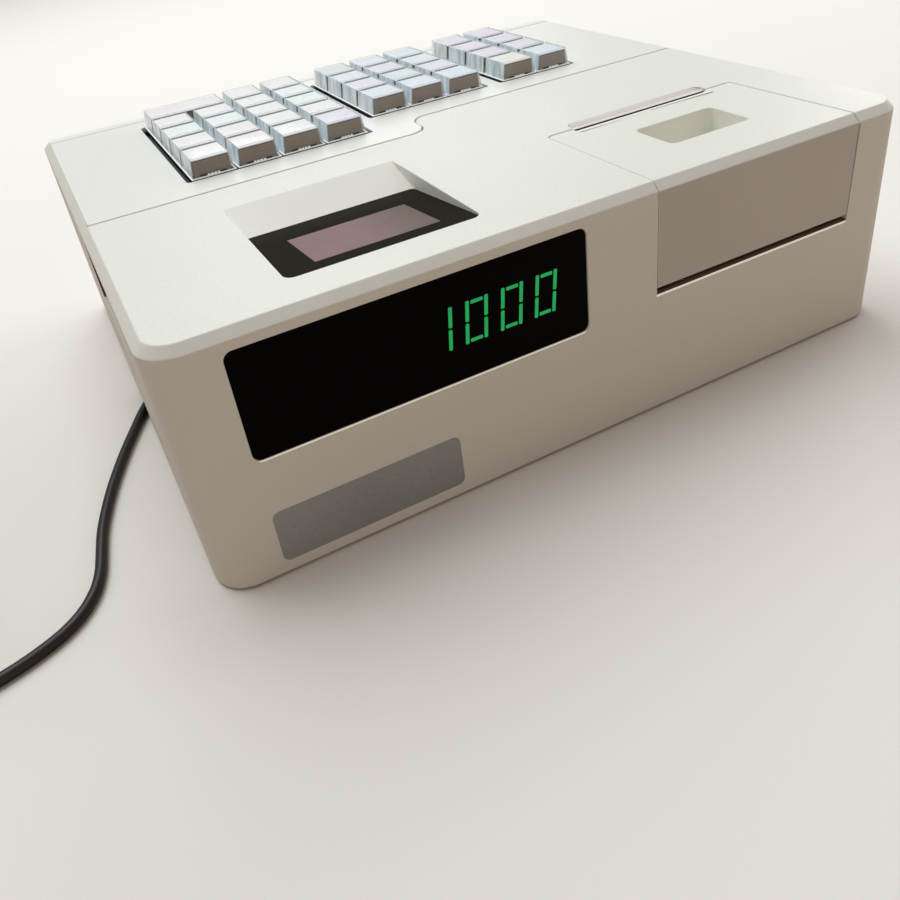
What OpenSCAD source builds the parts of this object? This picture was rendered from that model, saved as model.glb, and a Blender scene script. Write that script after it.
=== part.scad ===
// Ticket register: a low counter-top case with a keyboard of clear-capped keys, an operator display
// and a customer display, and a drop-in receipt printer under a hinged cover.
//
// Every module is drawn from the rear corner of the case: u runs across from the side wall that the cord
// leaves, v runs from the rear (customer) face towards the operator, and z is the height above the counter.
// from_rear_corner() carries that corner to the row frame: centred, operator at -Y, customer at +Y.

/* [Case] */
// Width of the case
case_w = 285; // [280:1:320]
// Depth of the case
case_d = 245; // [240:1:285]
// Height of the top face above the counter
top_z = 90; // [88:1:110]
// Wall thickness of the mouldings
wall = 2.5; // [2:0.1:3.2]
// Chamfer all round the top face
edge_chamfer = 3; // [1:0.5:4]
// Radius of the rear vertical corners
rear_corner_r = 12; // [8:0.5:18]
// Radius of the front vertical corners
front_corner_r = 5; // [4.5:0.5:12]
// Height of the case's bottom rim above the counter
foot_gap = 1; // [1:0.5:3]
// Radius of a rubber foot
foot_r = 8; // [5:0.5:10]
// Distance of each foot from the two nearest walls
foot_inset = 24; // [20:1:30]

/* [Keyboard] */
// Spacing of the keys, both ways
key_pitch = 19.05; // [18.8:0.05:19.4]
// Side of a key cap at its foot
key_base = 18; // [17:0.1:18.3]
// Width of a key cap's top face
key_top_u = 15.4; // [13:0.1:16.5]
// Depth of a key cap's top face
key_top_v = 17; // [14:0.1:17]
// Height of the key tops above the case's top face
key_rise = 8; // [7:0.5:10]
// Wall of a key cap
key_wall = 1.3; // [1:0.1:1.4]
// Travel of a key
key_travel = 3; // [2:0.5:3.5]
// Side wall to the first key
keys_u = 45.7; // [30:0.1:50]
// Free strip between two blocks of keys
block_gap = 10; // [8:0.5:11]
// Front seam of the plate to the front row of keys
keys_front = 13.4; // [8:0.1:16]
// Gap between the outer keys and the edge of their cut-out, across
cut_gap_u = 2.3; // [1.5:0.1:3]
// Gap between the outer keys and the edge of their cut-out, front and rear
cut_gap_v = 1.4; // [1:0.1:2]
// Thickness of the keyboard plate
plate_t = 2.2; // [1.8:0.1:2.4]
// Plate's rear edge beside the operator display: share of the way from the printer bay to the keys
plate_rear_share = 0.439; // [0.4:0.001:0.7]
// Plate's rear edge beside the printer: share of the way from the printer bay to the keys
plate_step_share = 0.657; // [0.64:0.001:0.75]
// Side wall to the middle of the step between those edges
plate_step_u = 141; // [130:1:150]
// Radius of the two bends of that step
plate_step_r = 8; // [4:0.5:9]
// Case rim in front of the plate
front_rim = 9.5; // [8:0.5:14]
// Width of the ledge that the plate sits on
ledge_w = 3; // [2:0.5:4]
// Seam round a piece that is let into the case
seam = 0.3; // [0.2:0.05:0.5]

/* [Displays] */
// Side wall to the customer window
win_u = 21.1; // [18:0.1:26]
// Width of the customer window
win_w = 119; // [90:1:125]
// Height of the window's lower edge
win_z = 45.7; // [30:0.1:48]
// Height of the customer window
win_h = 37.9; // [25:0.1:38]
// Thickness of the window panel
win_t = 1.5; // [1:0.1:1.7]
// Corner radius of the window
win_r = 3; // [1:0.5:5]
// Side wall to the operator display's recess
recess_u = 47; // [42:1:52]
// Width of that recess
recess_w = 66.5; // [60:0.5:70]
// Rear face to the recess
recess_v = 18; // [15:0.5:22]
// Rear face to the foot of the recess's ramp
glass_end_v = 70.5; // [66:0.5:74]
// Rear face to the top of the recess's ramp
ramp_end_v = 87.5; // [84:0.5:94]
// Depth of the recess at the foot of the ramp
recess_depth = 6; // [4:0.5:7]
// Depth of the recess along its rear edge
recess_lip = 0.4; // [0.2:0.1:1]
// Thickness of the operator window
glass_t = 1.6; // [1:0.1:2]

/* [Paper cover] */
// Width of the paper cover
cover_w = 90.4; // [88:0.2:92]
// Side wall beside the cover to the cover
cover_margin = 25.2; // [22:0.2:30]
// Depth of the cover's top
cover_d = 65.4; // [65:0.1:66]
// Height of the cover's lower edge on the rear face
cover_low_z = 50.6; // [50:0.1:52]
// Thickness of the cover
cover_t = 2.2; // [1.8:0.1:2.4]
// Gap round the cover
cover_gap = 0.4; // [0.3:0.05:0.6]
// Radius of the hinge barrel along the cover's lower edge
barrel_r = 2.6; // [2.4:0.1:2.8]
// Radius of the hinge pins
hinge_pin_r = 1.5; // [1.2:0.1:1.7]
// Cover's edge to the finger pocket
pocket_u = 26.2; // [20:0.1:30]
// Width of the finger pocket
pocket_w = 36.7; // [25:0.1:40]
// Rear face to the finger pocket
pocket_v = 24.9; // [20:0.1:26]
// Length of the finger pocket, front to rear
pocket_l = 21.5; // [15:0.1:22]
// Depth of the finger pocket
pocket_depth = 13; // [8:0.5:14]

/* [Printer] */
// Width of the paper roll
roll_w = 57.5; // [50:0.5:58]
// Radius of a full paper roll
roll_r = 28; // [20:0.5:28]
// Inside radius of the roll's cardboard core
core_r = 6; // [5:0.5:8]
// Radius of the platen roller
platen_r = 5; // [4:0.1:5]
// Radius of the platen's steel shaft
shaft_r = 1.5; // [1.2:0.1:1.7]
// Length of the serrated cutter bar
cutter_l = 64; // [60:1:68]
// Number of teeth on the cutter bar
cutter_teeth = 42; // [30:1:60]

/* [Power] */
// Depth of the side recess that holds the power switch
niche_depth = 7; // [5:0.5:8]
// Height of the side recess
niche_h = 23; // [20:1:24]
// Length of the side recess
niche_l = 60; // [50:1:64]
// Rear face to the side recess
niche_v = 51; // [48:1:56]
// Diameter of the power cord
cord_d = 4;
// Diameter of the plug's barrel
plug_barrel_d = 5.5; // [4:0.1:6]
// Width of the mains adapter
adapter_w = 46; // [40:1:52]
// Length of the mains adapter
adapter_l = 72; // [60:1:90]
// Height of the mains adapter
adapter_h = 30; // [26:1:40]

/* [Hidden] */
$fn = 48;
eps = 0.01;
running_gap = 0.08;

// ---- the case
cavity_top_z = top_z - wall;
rim_z = foot_gap;
cover_floor_z = rim_z + wall;
ledge_z = top_z - plate_t - 1.8;

// ---- key layout: the blocks share their front row; rows count from the operator's side
keys_front_v = case_d - front_rim - keys_front;
block_cols = [4, 3, 2];
block_rows = [5, 4, 4];
block_u = [
    keys_u,
    keys_u + 4 * key_pitch + block_gap,
    keys_u + 7 * key_pitch + 2 * block_gap
];
row_letters = ["a", "b", "c", "d", "e"];
// One entry for each key: name, u and v of its rear corner beside the cord's wall, width in key units
KEYS = concat(
    [["key_1_a_wide", block_u[0], keys_front_v - key_base, 2]],
    [for (b = [0:2]) for (r = [0:block_rows[b] - 1]) for (c = [0:block_cols[b] - 1])
        if (!(b == 0 && r == 0 && c < 2))
            [str("key_", b + 1, "_", row_letters[r], c + 1), block_u[b] + c * key_pitch,
             keys_front_v - key_base - r * key_pitch, 1]]
);
function key_w(k) = key_base + (k[3] - 1) * key_pitch;
// the rear edges of the tall block of keys and of the two shorter ones
tall_block_v = keys_front_v - key_base - (block_rows[0] - 1) * key_pitch;
short_block_v = keys_front_v - key_base - (block_rows[1] - 1) * key_pitch;
bay_v = 96;
plate_rear_v = bay_v + plate_rear_share * (tall_block_v - bay_v);
plate_step_v = bay_v + plate_step_share * (short_block_v - bay_v);
plate_front_v = case_d - front_rim;
key_skirt_z = top_z - 0.6;
key_top_z = top_z + key_rise;
switch_board_z = top_z - 18;
board_t = 1.6;
switch_side = 14;
switch_h = 10;
stem_side = 5.6;
stem_z = switch_board_z + board_t + key_travel + 1;
plate_post_r = 2.5;
plate_posts_u = [block_u[0] - 6, block_u[1] - block_gap / 2, block_u[2] - block_gap / 2,
                 block_u[2] + 2 * key_pitch + 5];
plate_posts_v = [keys_front_v - 2 * key_pitch, keys_front_v - 4 * key_pitch + 4];

// ---- the paper cover and its hinge
cover_u = case_w - cover_margin - cover_w;
cover_end_u = cover_u + cover_w;
hinge_v = barrel_r + 0.4;
hinge_z = cover_low_z + barrel_r;
hinge_pin_l = 3.6;
hinge_block_v = 6.6;
// the panel's lower corner swings through this gap over the case's lip
low_chamfer = 0.5;
lip_z = hinge_z - norm([hinge_v, barrel_r - low_chamfer]) - 0.2;
lip_bevel = 1.15;
cover_corner_r = 2;
skirt_t = 2;
pocket_wall = 1.6;

// ---- the printer bay, from the rear: roll well, platen, print head, cutter
bay_wall = 2;
deck_z = top_z - 30;
well_r = roll_r + 3;
well_v = 34;
well_z = rim_z + wall + 0.5 + bay_wall + well_r;
roll_z = well_z - well_r + roll_r + 0.3;
mid_u = cover_u + cover_w / 2;
well_w = roll_w + 2.5;
platen_v = cover_d - 5;
platen_z = top_z - 10.5;
platen_l = 62;
bushing_r = 3;
arm_u = 3.6;
arm_t = 3;
head_v = platen_v + platen_r + 0.35;
mech_w = cover_w - 2 * (arm_u + arm_t) - 0.4;
mech_top_z = cavity_top_z - 1.5;
cutter_t = 1.3;
cutter_v = cover_d + 2.1;
cutter_w = 4.8;
tooth_l = 0.8;

// ---- the paper slot: a step along the cover's front edge, the slot, and a scoop sloping up from it
slot_l = cutter_l + 2;
slot_w = 3;
step_w = 1.2;
step_drop = 0.8;
scoop_w = 7.6;
scoop_depth = 1.9;
scoop_r = 3.4;

// ---- the side recess and its rocker
niche_top_z = top_z - 5;
rocker_w = 11.2;
rocker_r = 8.7;
rocker_rest = -7;
rocker_v = niche_v + niche_l / 2;
rocker_z = niche_top_z - niche_h / 2;
rocker_u = niche_depth + 3.5;
rocker_pin_r = 1.2;
rocker_ear = 2.4;

// ---- the plug pocket, under the case beside the cord's wall
plug_u = 13;
plug_z = rim_z + 8;
plug_pocket_v = 114;
plug_pocket_end_v = 180;
plug_pocket_u = 27;
plug_pocket_z = rim_z + 16;
plug_body_l = 24;
plug_body_r = 4.8;
plug_barrel_l = 9.5;
jack_w = 10;
jack_l = 14;
jack_z = plug_z + 6;
notch_v = 117;
notch_l = 27;
notch_h = 6;

// ---- screws
screw_r = 1.5;
screw_l = 12;
screw_head_r = 2.8;
screw_head_h = 1.6;
boss_r = 4;
screw_places = [[13, 14.5], [case_w - 13, 14.5], [13, case_d - 14], [case_w - 13, case_d - 14],
                [cover_u - 13, 40], [cover_u - 13, case_d - 14]];

// ---- the cord: the points of its middle line from the plug to the coil, then from the coil to the adapter
cord_r = cord_d / 2;
coil_u = -104;
coil_v = 35;
coil_in_r = 14;
coil_out_r = 34;
coil_h = 8;
cord_route = [
    [13, 157, 9], [13, 151, 9], [12, 145, 7], [9.5, 139.5, 4.5], [6, 134.5, 2.8], [2.5, 130, 2.2],
    [-1, 124.5, 2], [-7, 112.5, 2], [-12.5, 101, 2], [-17.5, 89.5, 2], [-22, 78, 2], [-26, 66, 2],
    [-29, 55, 2], [-31, 44, 2], [-33, 34, 2], [-37, 24.5, 2], [-44, 16.5, 2], [-54, 11, 2],
    [-65, 7.5, 2], [-77, 5, 2], [-90, 3.5, 2], [-104, 3, 2]
];
cord_end_route = [
    [-136, 35, 6], [-136, 42, 5.5], [-136, 49, 3.8], [-136, 56, 2.6], [-136, 63, 3.4], [-136, 70, 5.2],
    [-136, 76, 6]
];
adapter_u = -136;
adapter_v = 86;
relief_l = 12;
blade_l = 15;

module from_rear_corner() {
    translate([case_w / 2, case_d / 2, 0]) rotate([0, 0, 180]) children();
}

// A box from its lowest corner and its sides
module block(at, size) {
    translate(at) cube(size);
}

// A box with rounded vertical corners
module round_block(at, size, r) {
    translate(at) {
        translate([r, 0, 0]) cube([size[0] - 2 * r, size[1], size[2]]);
        translate([0, r, 0]) cube([size[0], size[1] - 2 * r, size[2]]);
        for (x = [r, size[0] - r], y = [r, size[1] - r]) translate([x, y, 0]) cylinder(h = size[2], r = r);
    }
}

// The same with its rounded corners running along v
module round_panel(u, v, z, w, t, h, r) {
    translate([u, v + t, z]) rotate([90, 0, 0]) round_block([0, 0, 0], [w, h, t], r);
}

// A solid with a constant outline in v and z, from u for a width w; the outline's points are [v, z]
module side_profile(u, w, points) {
    translate([u, 0, 0]) rotate([90, 0, 90]) linear_extrude(w) polygon(points);
}

// ---- the case's plan outline, set in by a distance: large corners at the rear, small at the front
module plan(inset) {
    rr = rear_corner_r - inset;
    fr = front_corner_r - inset;
    w = case_w - 2 * inset;
    d = case_d - 2 * inset;
    translate([inset, inset]) {
        translate([0, rr]) square([w, d - rr - fr]);
        translate([rr, 0]) square([w - 2 * rr, d / 2]);
        translate([fr, d / 2]) square([w - 2 * fr, d / 2]);
        for (x = [rr, w - rr]) translate([x, rr]) circle(rr);
        for (x = [fr, w - fr]) translate([x, d - fr]) circle(fr);
    }
}

// The band above the plan's walls whose sides lean in by the chamfer
module chamfer_band(z) {
    c = edge_chamfer;
    rr = rear_corner_r;
    fr = front_corner_r;
    translate([0, 0, z]) {
        // across the case, between the corner centres
        side_profile(rr, case_w - 2 * rr, [[0, 0], [case_d - fr, 0], [case_d - fr, c], [c, c]]);
        side_profile(fr, case_w - 2 * fr, [[rr, 0], [case_d, 0], [case_d - c, c], [rr, c]]);
        // from rear to front, between the corner centres
        translate([0, case_d - fr, 0]) rotate([90, 0, 0]) linear_extrude(case_d - rr - fr)
            polygon([[0, 0], [case_w, 0], [case_w - c, c], [c, c]]);
        for (x = [rr, case_w - rr]) translate([x, rr, 0]) cylinder(h = c, r1 = rr, r2 = rr - c);
        for (x = [fr, case_w - fr]) translate([x, case_d - fr, 0]) cylinder(h = c, r1 = fr, r2 = fr - c);
    }
}

module case_solid() {
    translate([0, 0, rim_z]) linear_extrude(top_z - edge_chamfer - rim_z) plan(0);
    chamfer_band(top_z - edge_chamfer);
}

// ---- the keyboard plate's outline, grown by g; its rear edge steps back beside the printer
module plate_outline(g) {
    left = edge_chamfer + seam - g;
    right = case_w - edge_chamfer - seam + g;
    front = plate_front_v + g;
    step_v = plate_step_v - g;
    step_u = plate_step_u + g;
    rear = plate_rear_v - g;
    r = plate_step_r;
    translate([left, step_v]) square([right - left, front - step_v]);
    translate([left, rear]) square([step_u - r - left, step_v - rear + eps]);
    translate([left, rear + r]) square([step_u - left, step_v - rear - r + eps]);
    translate([step_u - r, rear + r]) circle(r);
    difference() {
        translate([step_u - eps, step_v - r]) square([r + eps, r + eps]);
        translate([step_u + r, step_v - r]) circle(r);
    }
}

// The cut-outs for the three blocks of keys
module key_cuts(z, h) {
    for (b = [0:2]) {
        w = (block_cols[b] - 1) * key_pitch + key_base;
        d = (block_rows[b] - 1) * key_pitch + key_base;
        round_block([block_u[b] - cut_gap_u, keys_front_v - d - cut_gap_v, z],
                    [w + 2 * cut_gap_u, d + 2 * cut_gap_v, h], 1.5);
    }
}

module keyboard_plate() {
    color([0.92, 0.92, 0.9]) from_rear_corner() {
        difference() {
            translate([0, 0, top_z - plate_t]) linear_extrude(plate_t) plate_outline(0);
            key_cuts(top_z - plate_t - 1, plate_t + 2);
        }
        // posts that carry the switch board
        for (u = plate_posts_u, v = plate_posts_v)
            translate([u, v, switch_board_z + board_t])
                cylinder(h = top_z - plate_t - switch_board_z - board_t + eps, r = plate_post_r);
    }
}

// ---- operator display recess: window slope from the rear, then a ramp back up to the top face
recess_slope = atan((recess_depth - recess_lip) / (glass_end_v - recess_v));
glass_l = (glass_end_v - recess_v) / cos(recess_slope) - 0.4;

// Carries a piece drawn flat at the recess's rear edge down to a depth under the window's face
module on_slope(depth) {
    translate([recess_u, recess_v, top_z - recess_lip]) rotate([-recess_slope, 0, 0])
        translate([0, 0, -depth]) children();
}

module recess_cut() {
    side_profile(recess_u, recess_w,
                 [[recess_v, top_z + 1], [recess_v, top_z - recess_lip], [glass_end_v, top_z - recess_depth],
                  [ramp_end_v, top_z], [ramp_end_v + 2, top_z + 1]]);
    on_slope(glass_t) round_block([0, 0, 0], [recess_w, glass_l + 0.4, glass_t + eps], 2);
    on_slope(glass_t + 6) block([4, 4, 0], [recess_w - 8, glass_l - 8, 7]);
}

module recess_pan() {
    side_profile(recess_u - wall, recess_w + 2 * wall,
                 [[recess_v - wall, cavity_top_z + eps], [recess_v - wall, cavity_top_z - 3],
                  [glass_end_v, top_z - recess_depth - glass_t - wall],
                  [glass_end_v + 4, top_z - recess_depth - glass_t - wall],
                  [ramp_end_v + wall, cavity_top_z + eps]]);
}

// ---- the bay under the paper cover: side walls, a deck that carries the printer, and the roll well
module bay_solid() {
    block([cover_u - cover_gap - bay_wall, wall - eps, deck_z - 3],
          [cover_w + 2 * cover_gap + 2 * bay_wall, bay_v - wall + bay_wall, cavity_top_z - deck_z + 3 + eps]);
    side_profile(mid_u - well_w / 2 - bay_wall, well_w + 2 * bay_wall,
                 [[wall - eps, well_z], [well_v + well_r + bay_wall, well_z],
                  [well_v + well_r + bay_wall, deck_z], [wall - eps, deck_z]]);
    translate([mid_u - well_w / 2 - bay_wall, well_v, well_z]) rotate([0, 90, 0])
        cylinder(h = well_w + 2 * bay_wall, r = well_r + bay_wall, $fn = 96);
}

module bay_cut() {
    // the space over the deck
    block([cover_u - cover_gap, hinge_block_v, deck_z],
          [cover_w + 2 * cover_gap, bay_v - hinge_block_v, cavity_top_z - deck_z]);
    // the cover's opening in the top face
    round_block([cover_u - cover_gap, -6, cavity_top_z - 1],
                [cover_w + 2 * cover_gap, cover_d + cover_gap + 6, wall + 2], cover_corner_r + cover_gap);
    // its opening in the rear face, with a bevelled lip
    side_profile(cover_u - cover_gap, cover_w + 2 * cover_gap,
                 [[-1, lip_z - lip_bevel - 1], [lip_bevel, lip_z], [hinge_block_v, lip_z],
                  [hinge_block_v, top_z + 1], [-1, top_z + 1]]);
    // the paper slot and its scoop
    block([mid_u - slot_l / 2, cover_d, cavity_top_z - 1], [slot_l, slot_w, wall + 2]);
    intersection() {
        round_block([mid_u - slot_l / 2, cover_d - scoop_r, cavity_top_z],
                    [slot_l, scoop_w + scoop_r, wall + 1], scoop_r);
        side_profile(mid_u - slot_l, 2 * slot_l,
                     [[cover_d - 2 * scoop_r, top_z - scoop_depth], [cover_d + slot_w, top_z - scoop_depth],
                      [cover_d + scoop_w, top_z], [cover_d + scoop_w, top_z + 1],
                      [cover_d - 2 * scoop_r, top_z + 1]]);
    }
    // the roll well
    translate([mid_u - well_w / 2, well_v, well_z]) rotate([0, 90, 0])
        cylinder(h = well_w, r = well_r, $fn = 96);
    block([mid_u - well_w / 2, well_v - well_r, well_z], [well_w, 2 * well_r, top_z - well_z]);
}

// ---- blocks beside the cover that hold its hinge pins
module hinge_blocks() {
    for (u = [cover_u - cover_gap - hinge_pin_l - 1, cover_end_u + cover_gap])
        block([u, eps, hinge_z - 6], [hinge_pin_l + 1, hinge_block_v, 12]);
}

module hinge_bores() {
    translate([cover_u - hinge_pin_l - cover_gap, hinge_v, hinge_z]) rotate([0, 90, 0])
        cylinder(h = cover_w + 2 * hinge_pin_l + 2 * cover_gap, r = hinge_pin_r + running_gap);
}

// ---- the side recess, and the ears behind it that hold the rocker's pins
module niche_solid() {
    block([eps, niche_v - wall, niche_top_z - niche_h - wall],
          [niche_depth + wall, niche_l + 2 * wall, niche_h + 2 * wall]);
    for (z = [rocker_z - rocker_w / 2 - running_gap - rocker_ear, rocker_z + rocker_w / 2 + running_gap])
        block([niche_depth, rocker_v - 4, z], [7, 8, rocker_ear]);
}

module niche_cut() {
    round_panel_side(niche_v, niche_top_z - niche_h, niche_l, niche_h, 3);
    block([niche_depth - 1, rocker_v - rocker_r - 0.4, rocker_z - rocker_w / 2 - running_gap],
          [wall + 2, 2 * rocker_r + 0.8, rocker_w + 2 * running_gap]);
    translate([rocker_u, rocker_v, rocker_z - rocker_w / 2 - rocker_ear - 1])
        cylinder(h = rocker_w + 2 * rocker_ear + 2, r = rocker_pin_r + running_gap);
}

// A pocket in the side wall with rounded corners running along u
module round_panel_side(v, z, l, h, r) {
    translate([-1, v, z + h]) rotate([0, 90, 0]) round_block([0, 0, 0], [h, l, niche_depth + 1], r);
}

module screw_bosses() {
    for (p = screw_places)
        translate([p[0], p[1], cover_floor_z]) cylinder(h = cavity_top_z - cover_floor_z + eps, r = boss_r);
}

module upper_case() {
    color([0.93, 0.93, 0.9]) from_rear_corner() difference() {
        union() {
            difference() {
                case_solid();
                translate([0, 0, rim_z - 1]) linear_extrude(cavity_top_z - rim_z + 1) plan(wall);
            }
            intersection() {
                union() {
                    translate([0, 0, ledge_z]) linear_extrude(cavity_top_z - ledge_z + eps)
                        plate_outline(ledge_w);
                    recess_pan();
                    bay_solid();
                    hinge_blocks();
                    niche_solid();
                    screw_bosses();
                    // posts that carry the customer display's board
                    for (u = [win_u + 4, win_u + win_w - 4], z = [win_z + 4, win_z + win_h - 4])
                        translate([u, wall - eps, z]) rotate([-90, 0, 0]) cylinder(h = 5.5 + eps, r = 2.5);
                }
                case_solid();
            }
        }
        // ledge and opening for the keyboard plate
        translate([0, 0, top_z - plate_t]) linear_extrude(plate_t + 1) plate_outline(seam);
        translate([0, 0, ledge_z - 1]) linear_extrude(plate_t + 3) plate_outline(-ledge_w);
        recess_cut();
        bay_cut();
        hinge_bores();
        niche_cut();
        // the customer window's seat and the opening behind it
        round_panel(win_u - 0.1, -1, win_z - 0.1, win_w + 0.2, win_t + 1, win_h + 0.2, win_r);
        round_panel(win_u + 8, -1, win_z + 2.5, win_w - 16, wall + 2, win_h - 5, 1.5);
        // the cord's notch in the side wall
        round_block([-1, notch_v, rim_z - 3], [wall + 2, notch_l, notch_h + 3], 0.5);
        // pilot holes in the bosses
        for (p = screw_places)
            translate([p[0], p[1], cover_floor_z - 1]) cylinder(h = screw_l + 2, r = screw_r);
    }
}

// ---- bottom cover: a plate inside the case's walls, with the plug pocket and the main board's posts
main_board_at = [7, plug_pocket_end_v + 3, jack_z];
board_end_gap = 21.4;
board_front_gap = 20;
main_board_size = [cover_u - board_end_gap - main_board_at[0],
                   case_d - board_front_gap - main_board_at[1], board_t];
main_board_posts = [for (u = [34, main_board_at[0] + main_board_size[0] - 5],
                         v = [main_board_at[1] + 5, main_board_at[1] + main_board_size[1] - 5]) [u, v]];

module bottom_cover() {
    color([0.9, 0.9, 0.87]) from_rear_corner() difference() {
        union() {
            translate([0, 0, rim_z]) linear_extrude(wall) plan(wall + seam);
            block([wall + seam, plug_pocket_v - 1.6, rim_z],
                  [plug_pocket_u + 1.6 - wall - seam, plug_pocket_end_v - plug_pocket_v + 3.2,
                   plug_pocket_z - rim_z + 1.6]);
            for (p = main_board_posts) translate([p[0], p[1], cover_floor_z - eps])
                cylinder(h = jack_z - cover_floor_z + eps, r = 2.5);
        }
        // inside of the plug pocket, open below and towards the cord's notch
        block([wall + seam - 1, plug_pocket_v, rim_z - 1],
              [plug_pocket_u - wall - seam + 1, plug_pocket_end_v - plug_pocket_v,
               plug_pocket_z - rim_z + 1]);
        translate([plug_u, plug_pocket_end_v - 1, plug_z]) rotate([-90, 0, 0])
            cylinder(h = 4, r = plug_barrel_d / 2 + 0.4);
        for (p = foot_places) translate([p[0], p[1], rim_z - 1]) cylinder(h = 2.2, r = foot_r);
        for (p = screw_places) {
            translate([p[0], p[1], rim_z - 1]) cylinder(h = wall + 2, r = screw_r + 0.2);
            translate([p[0], p[1], rim_z - 1]) cylinder(h = 1 + screw_head_h, r = screw_head_r + 0.3);
        }
    }
}

foot_places = [for (u = [foot_inset, case_w - foot_inset],
                    v = [foot_inset + 14, case_d - foot_inset]) [u, v]];

module rubber_feet() {
    color([0.15, 0.15, 0.15]) from_rear_corner()
        for (p = foot_places) translate([p[0], p[1], 0]) cylinder(h = rim_z + 1.2, r = foot_r);
}

module case_screws() {
    color([0.6, 0.6, 0.62]) from_rear_corner()
        for (p = screw_places) translate([p[0], p[1], rim_z + 0.2]) difference() {
            union() {
                cylinder(h = screw_head_h - 0.2, r = screw_head_r);
                cylinder(h = screw_l, r = screw_r);
            }
            // cross recess in the head
            for (a = [0, 90]) rotate([0, 0, a]) translate([-1.6, -0.35, -1]) cube([3.2, 0.7, 1.9]);
        }
}

// ---- customer side
module customer_window() {
    color([0.05, 0.05, 0.06]) from_rear_corner()
        round_panel(win_u, 0, win_z, win_w, win_t, win_h, win_r - 0.1);
}

digit_count = 4;
digit_w = 12.6;
digit_h = 19;
digits_u = win_u + win_w - 6.6 - digit_count * digit_w;
display_gap = 5.5;

module customer_display() {
    color([0.1, 0.3, 0.15]) from_rear_corner() {
        block([win_u + 1, wall + display_gap, win_z + 1], [win_w - 2, board_t, win_h - 2]);
        for (i = [0:digit_count - 1])
            block([digits_u + i * digit_w + 0.1, wall + 0.2, win_z + 8],
                  [digit_w - 0.2, display_gap - 0.2 + eps, digit_h]);
    }
}

// ---- operator side display
module operator_window() {
    color([0.08, 0.08, 0.07]) from_rear_corner() on_slope(glass_t)
        round_block([0.15, 0.15, 0.05], [recess_w - 0.3, glass_l, glass_t - 0.05], 1.8);
}

module operator_display() {
    color([0.5, 0.48, 0.5]) from_rear_corner() {
        on_slope(glass_t + 3) block([6, 6, 0], [recess_w - 12, glass_l - 12, 2.8]);
        on_slope(glass_t + 3 + board_t) block([4.5, 4.5, 0], [recess_w - 9, glass_l - 9, board_t + eps]);
    }
}

// ---- boards
module key_switch_board() {
    color([0.1, 0.35, 0.2]) from_rear_corner() {
        block([block_u[0] - 10, tall_block_v - 4, switch_board_z],
              [block_u[2] + 2 * key_pitch + 20 - block_u[0], keys_front_v - tall_block_v + 8, board_t]);
        for (k = KEYS)
            translate([k[1] + key_w(k) / 2, k[2] + key_base / 2, switch_board_z + board_t]) difference() {
                block([-switch_side / 2, -switch_side / 2, -eps], [switch_side, switch_side, switch_h]);
                block([-stem_side / 2 - 0.5, -stem_side / 2 - 0.5, 0.5],
                      [stem_side + 1, stem_side + 1, switch_h]);
            }
    }
}

// Processor, memory, two ribbon-cable sockets and a capacitor: place and sides as shares of the board's
// width and depth, then the height in millimetres
chips = [[0.42, 0.33, 0.11, 0.38, 1.6], [0.64, 0.29, 0.09, 0.48, 1.4], [0.28, 0.79, 0.24, 0.14, 6],
         [0.78, 0.67, 0.15, 0.14, 6], [0.18, 0.19, 0.06, 0.21, 10]];

module main_board() {
    color([0.12, 0.38, 0.22]) from_rear_corner() {
        block(main_board_at, main_board_size);
        // plug jack under the board, with its bore facing the pocket
        difference() {
            block([plug_u - jack_w / 2, plug_pocket_end_v + 1.6, plug_z - 5],
                  [jack_w, jack_l, jack_z - plug_z + 5 + eps]);
            translate([plug_u, plug_pocket_end_v, plug_z]) rotate([-90, 0, 0])
                cylinder(h = plug_barrel_l + 2.5, r = plug_barrel_d / 2 + 0.05);
        }
        for (c = chips)
            block([main_board_at[0] + c[0] * main_board_size[0], main_board_at[1] + c[1] * main_board_size[1],
                   jack_z + board_t - eps],
                  [c[2] * main_board_size[0], c[3] * main_board_size[1], c[4]]);
    }
}

// ---- printer: a body on the deck with the print head facing the platen, between two side plates that each
// have a cradle for one of the platen's bushings
module printer_mechanism() {
    color([0.25, 0.25, 0.26]) from_rear_corner() {
        difference() {
            union() {
                block([mid_u - mech_w / 2, head_v + 2, deck_z],
                      [mech_w, bay_v - head_v - 4, mech_top_z - deck_z]);
                block([mid_u - platen_l / 2 - 1, head_v, platen_z - 8], [platen_l + 2, 2 + eps, 13]);
            }
            // motor bay in the body's underside
            block([mid_u - mech_w / 2 + 3, head_v + 8, deck_z - 1], [20, 16, 17]);
        }
        for (u = [cover_u + arm_u, cover_end_u - arm_u - arm_t]) difference() {
            side_profile(u, arm_t,
                         [[platen_v - 6, deck_z], [bay_v - 2, deck_z], [bay_v - 2, mech_top_z - 2],
                          [head_v + 2, mech_top_z - 2], [head_v, platen_z], [platen_v - 6, platen_z]]);
            translate([u - 1, platen_v, platen_z]) rotate([0, 90, 0])
                cylinder(h = arm_t + 2, r = bushing_r + 0.6);
        }
    }
}

module cutter_bar() {
    pitch = cutter_l / cutter_teeth;
    color([0.78, 0.79, 0.8]) from_rear_corner() translate([mid_u - cutter_l / 2, cutter_v, mech_top_z])
        linear_extrude(cutter_t) polygon(concat(
            [[cutter_l, tooth_l], [cutter_l, cutter_w], [0, cutter_w], [0, tooth_l]],
            [for (i = [0:cutter_teeth - 1], s = [0, 1]) [pitch * (i + 0.25 + s / 2), s * tooth_l]]
        ));
}

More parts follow.
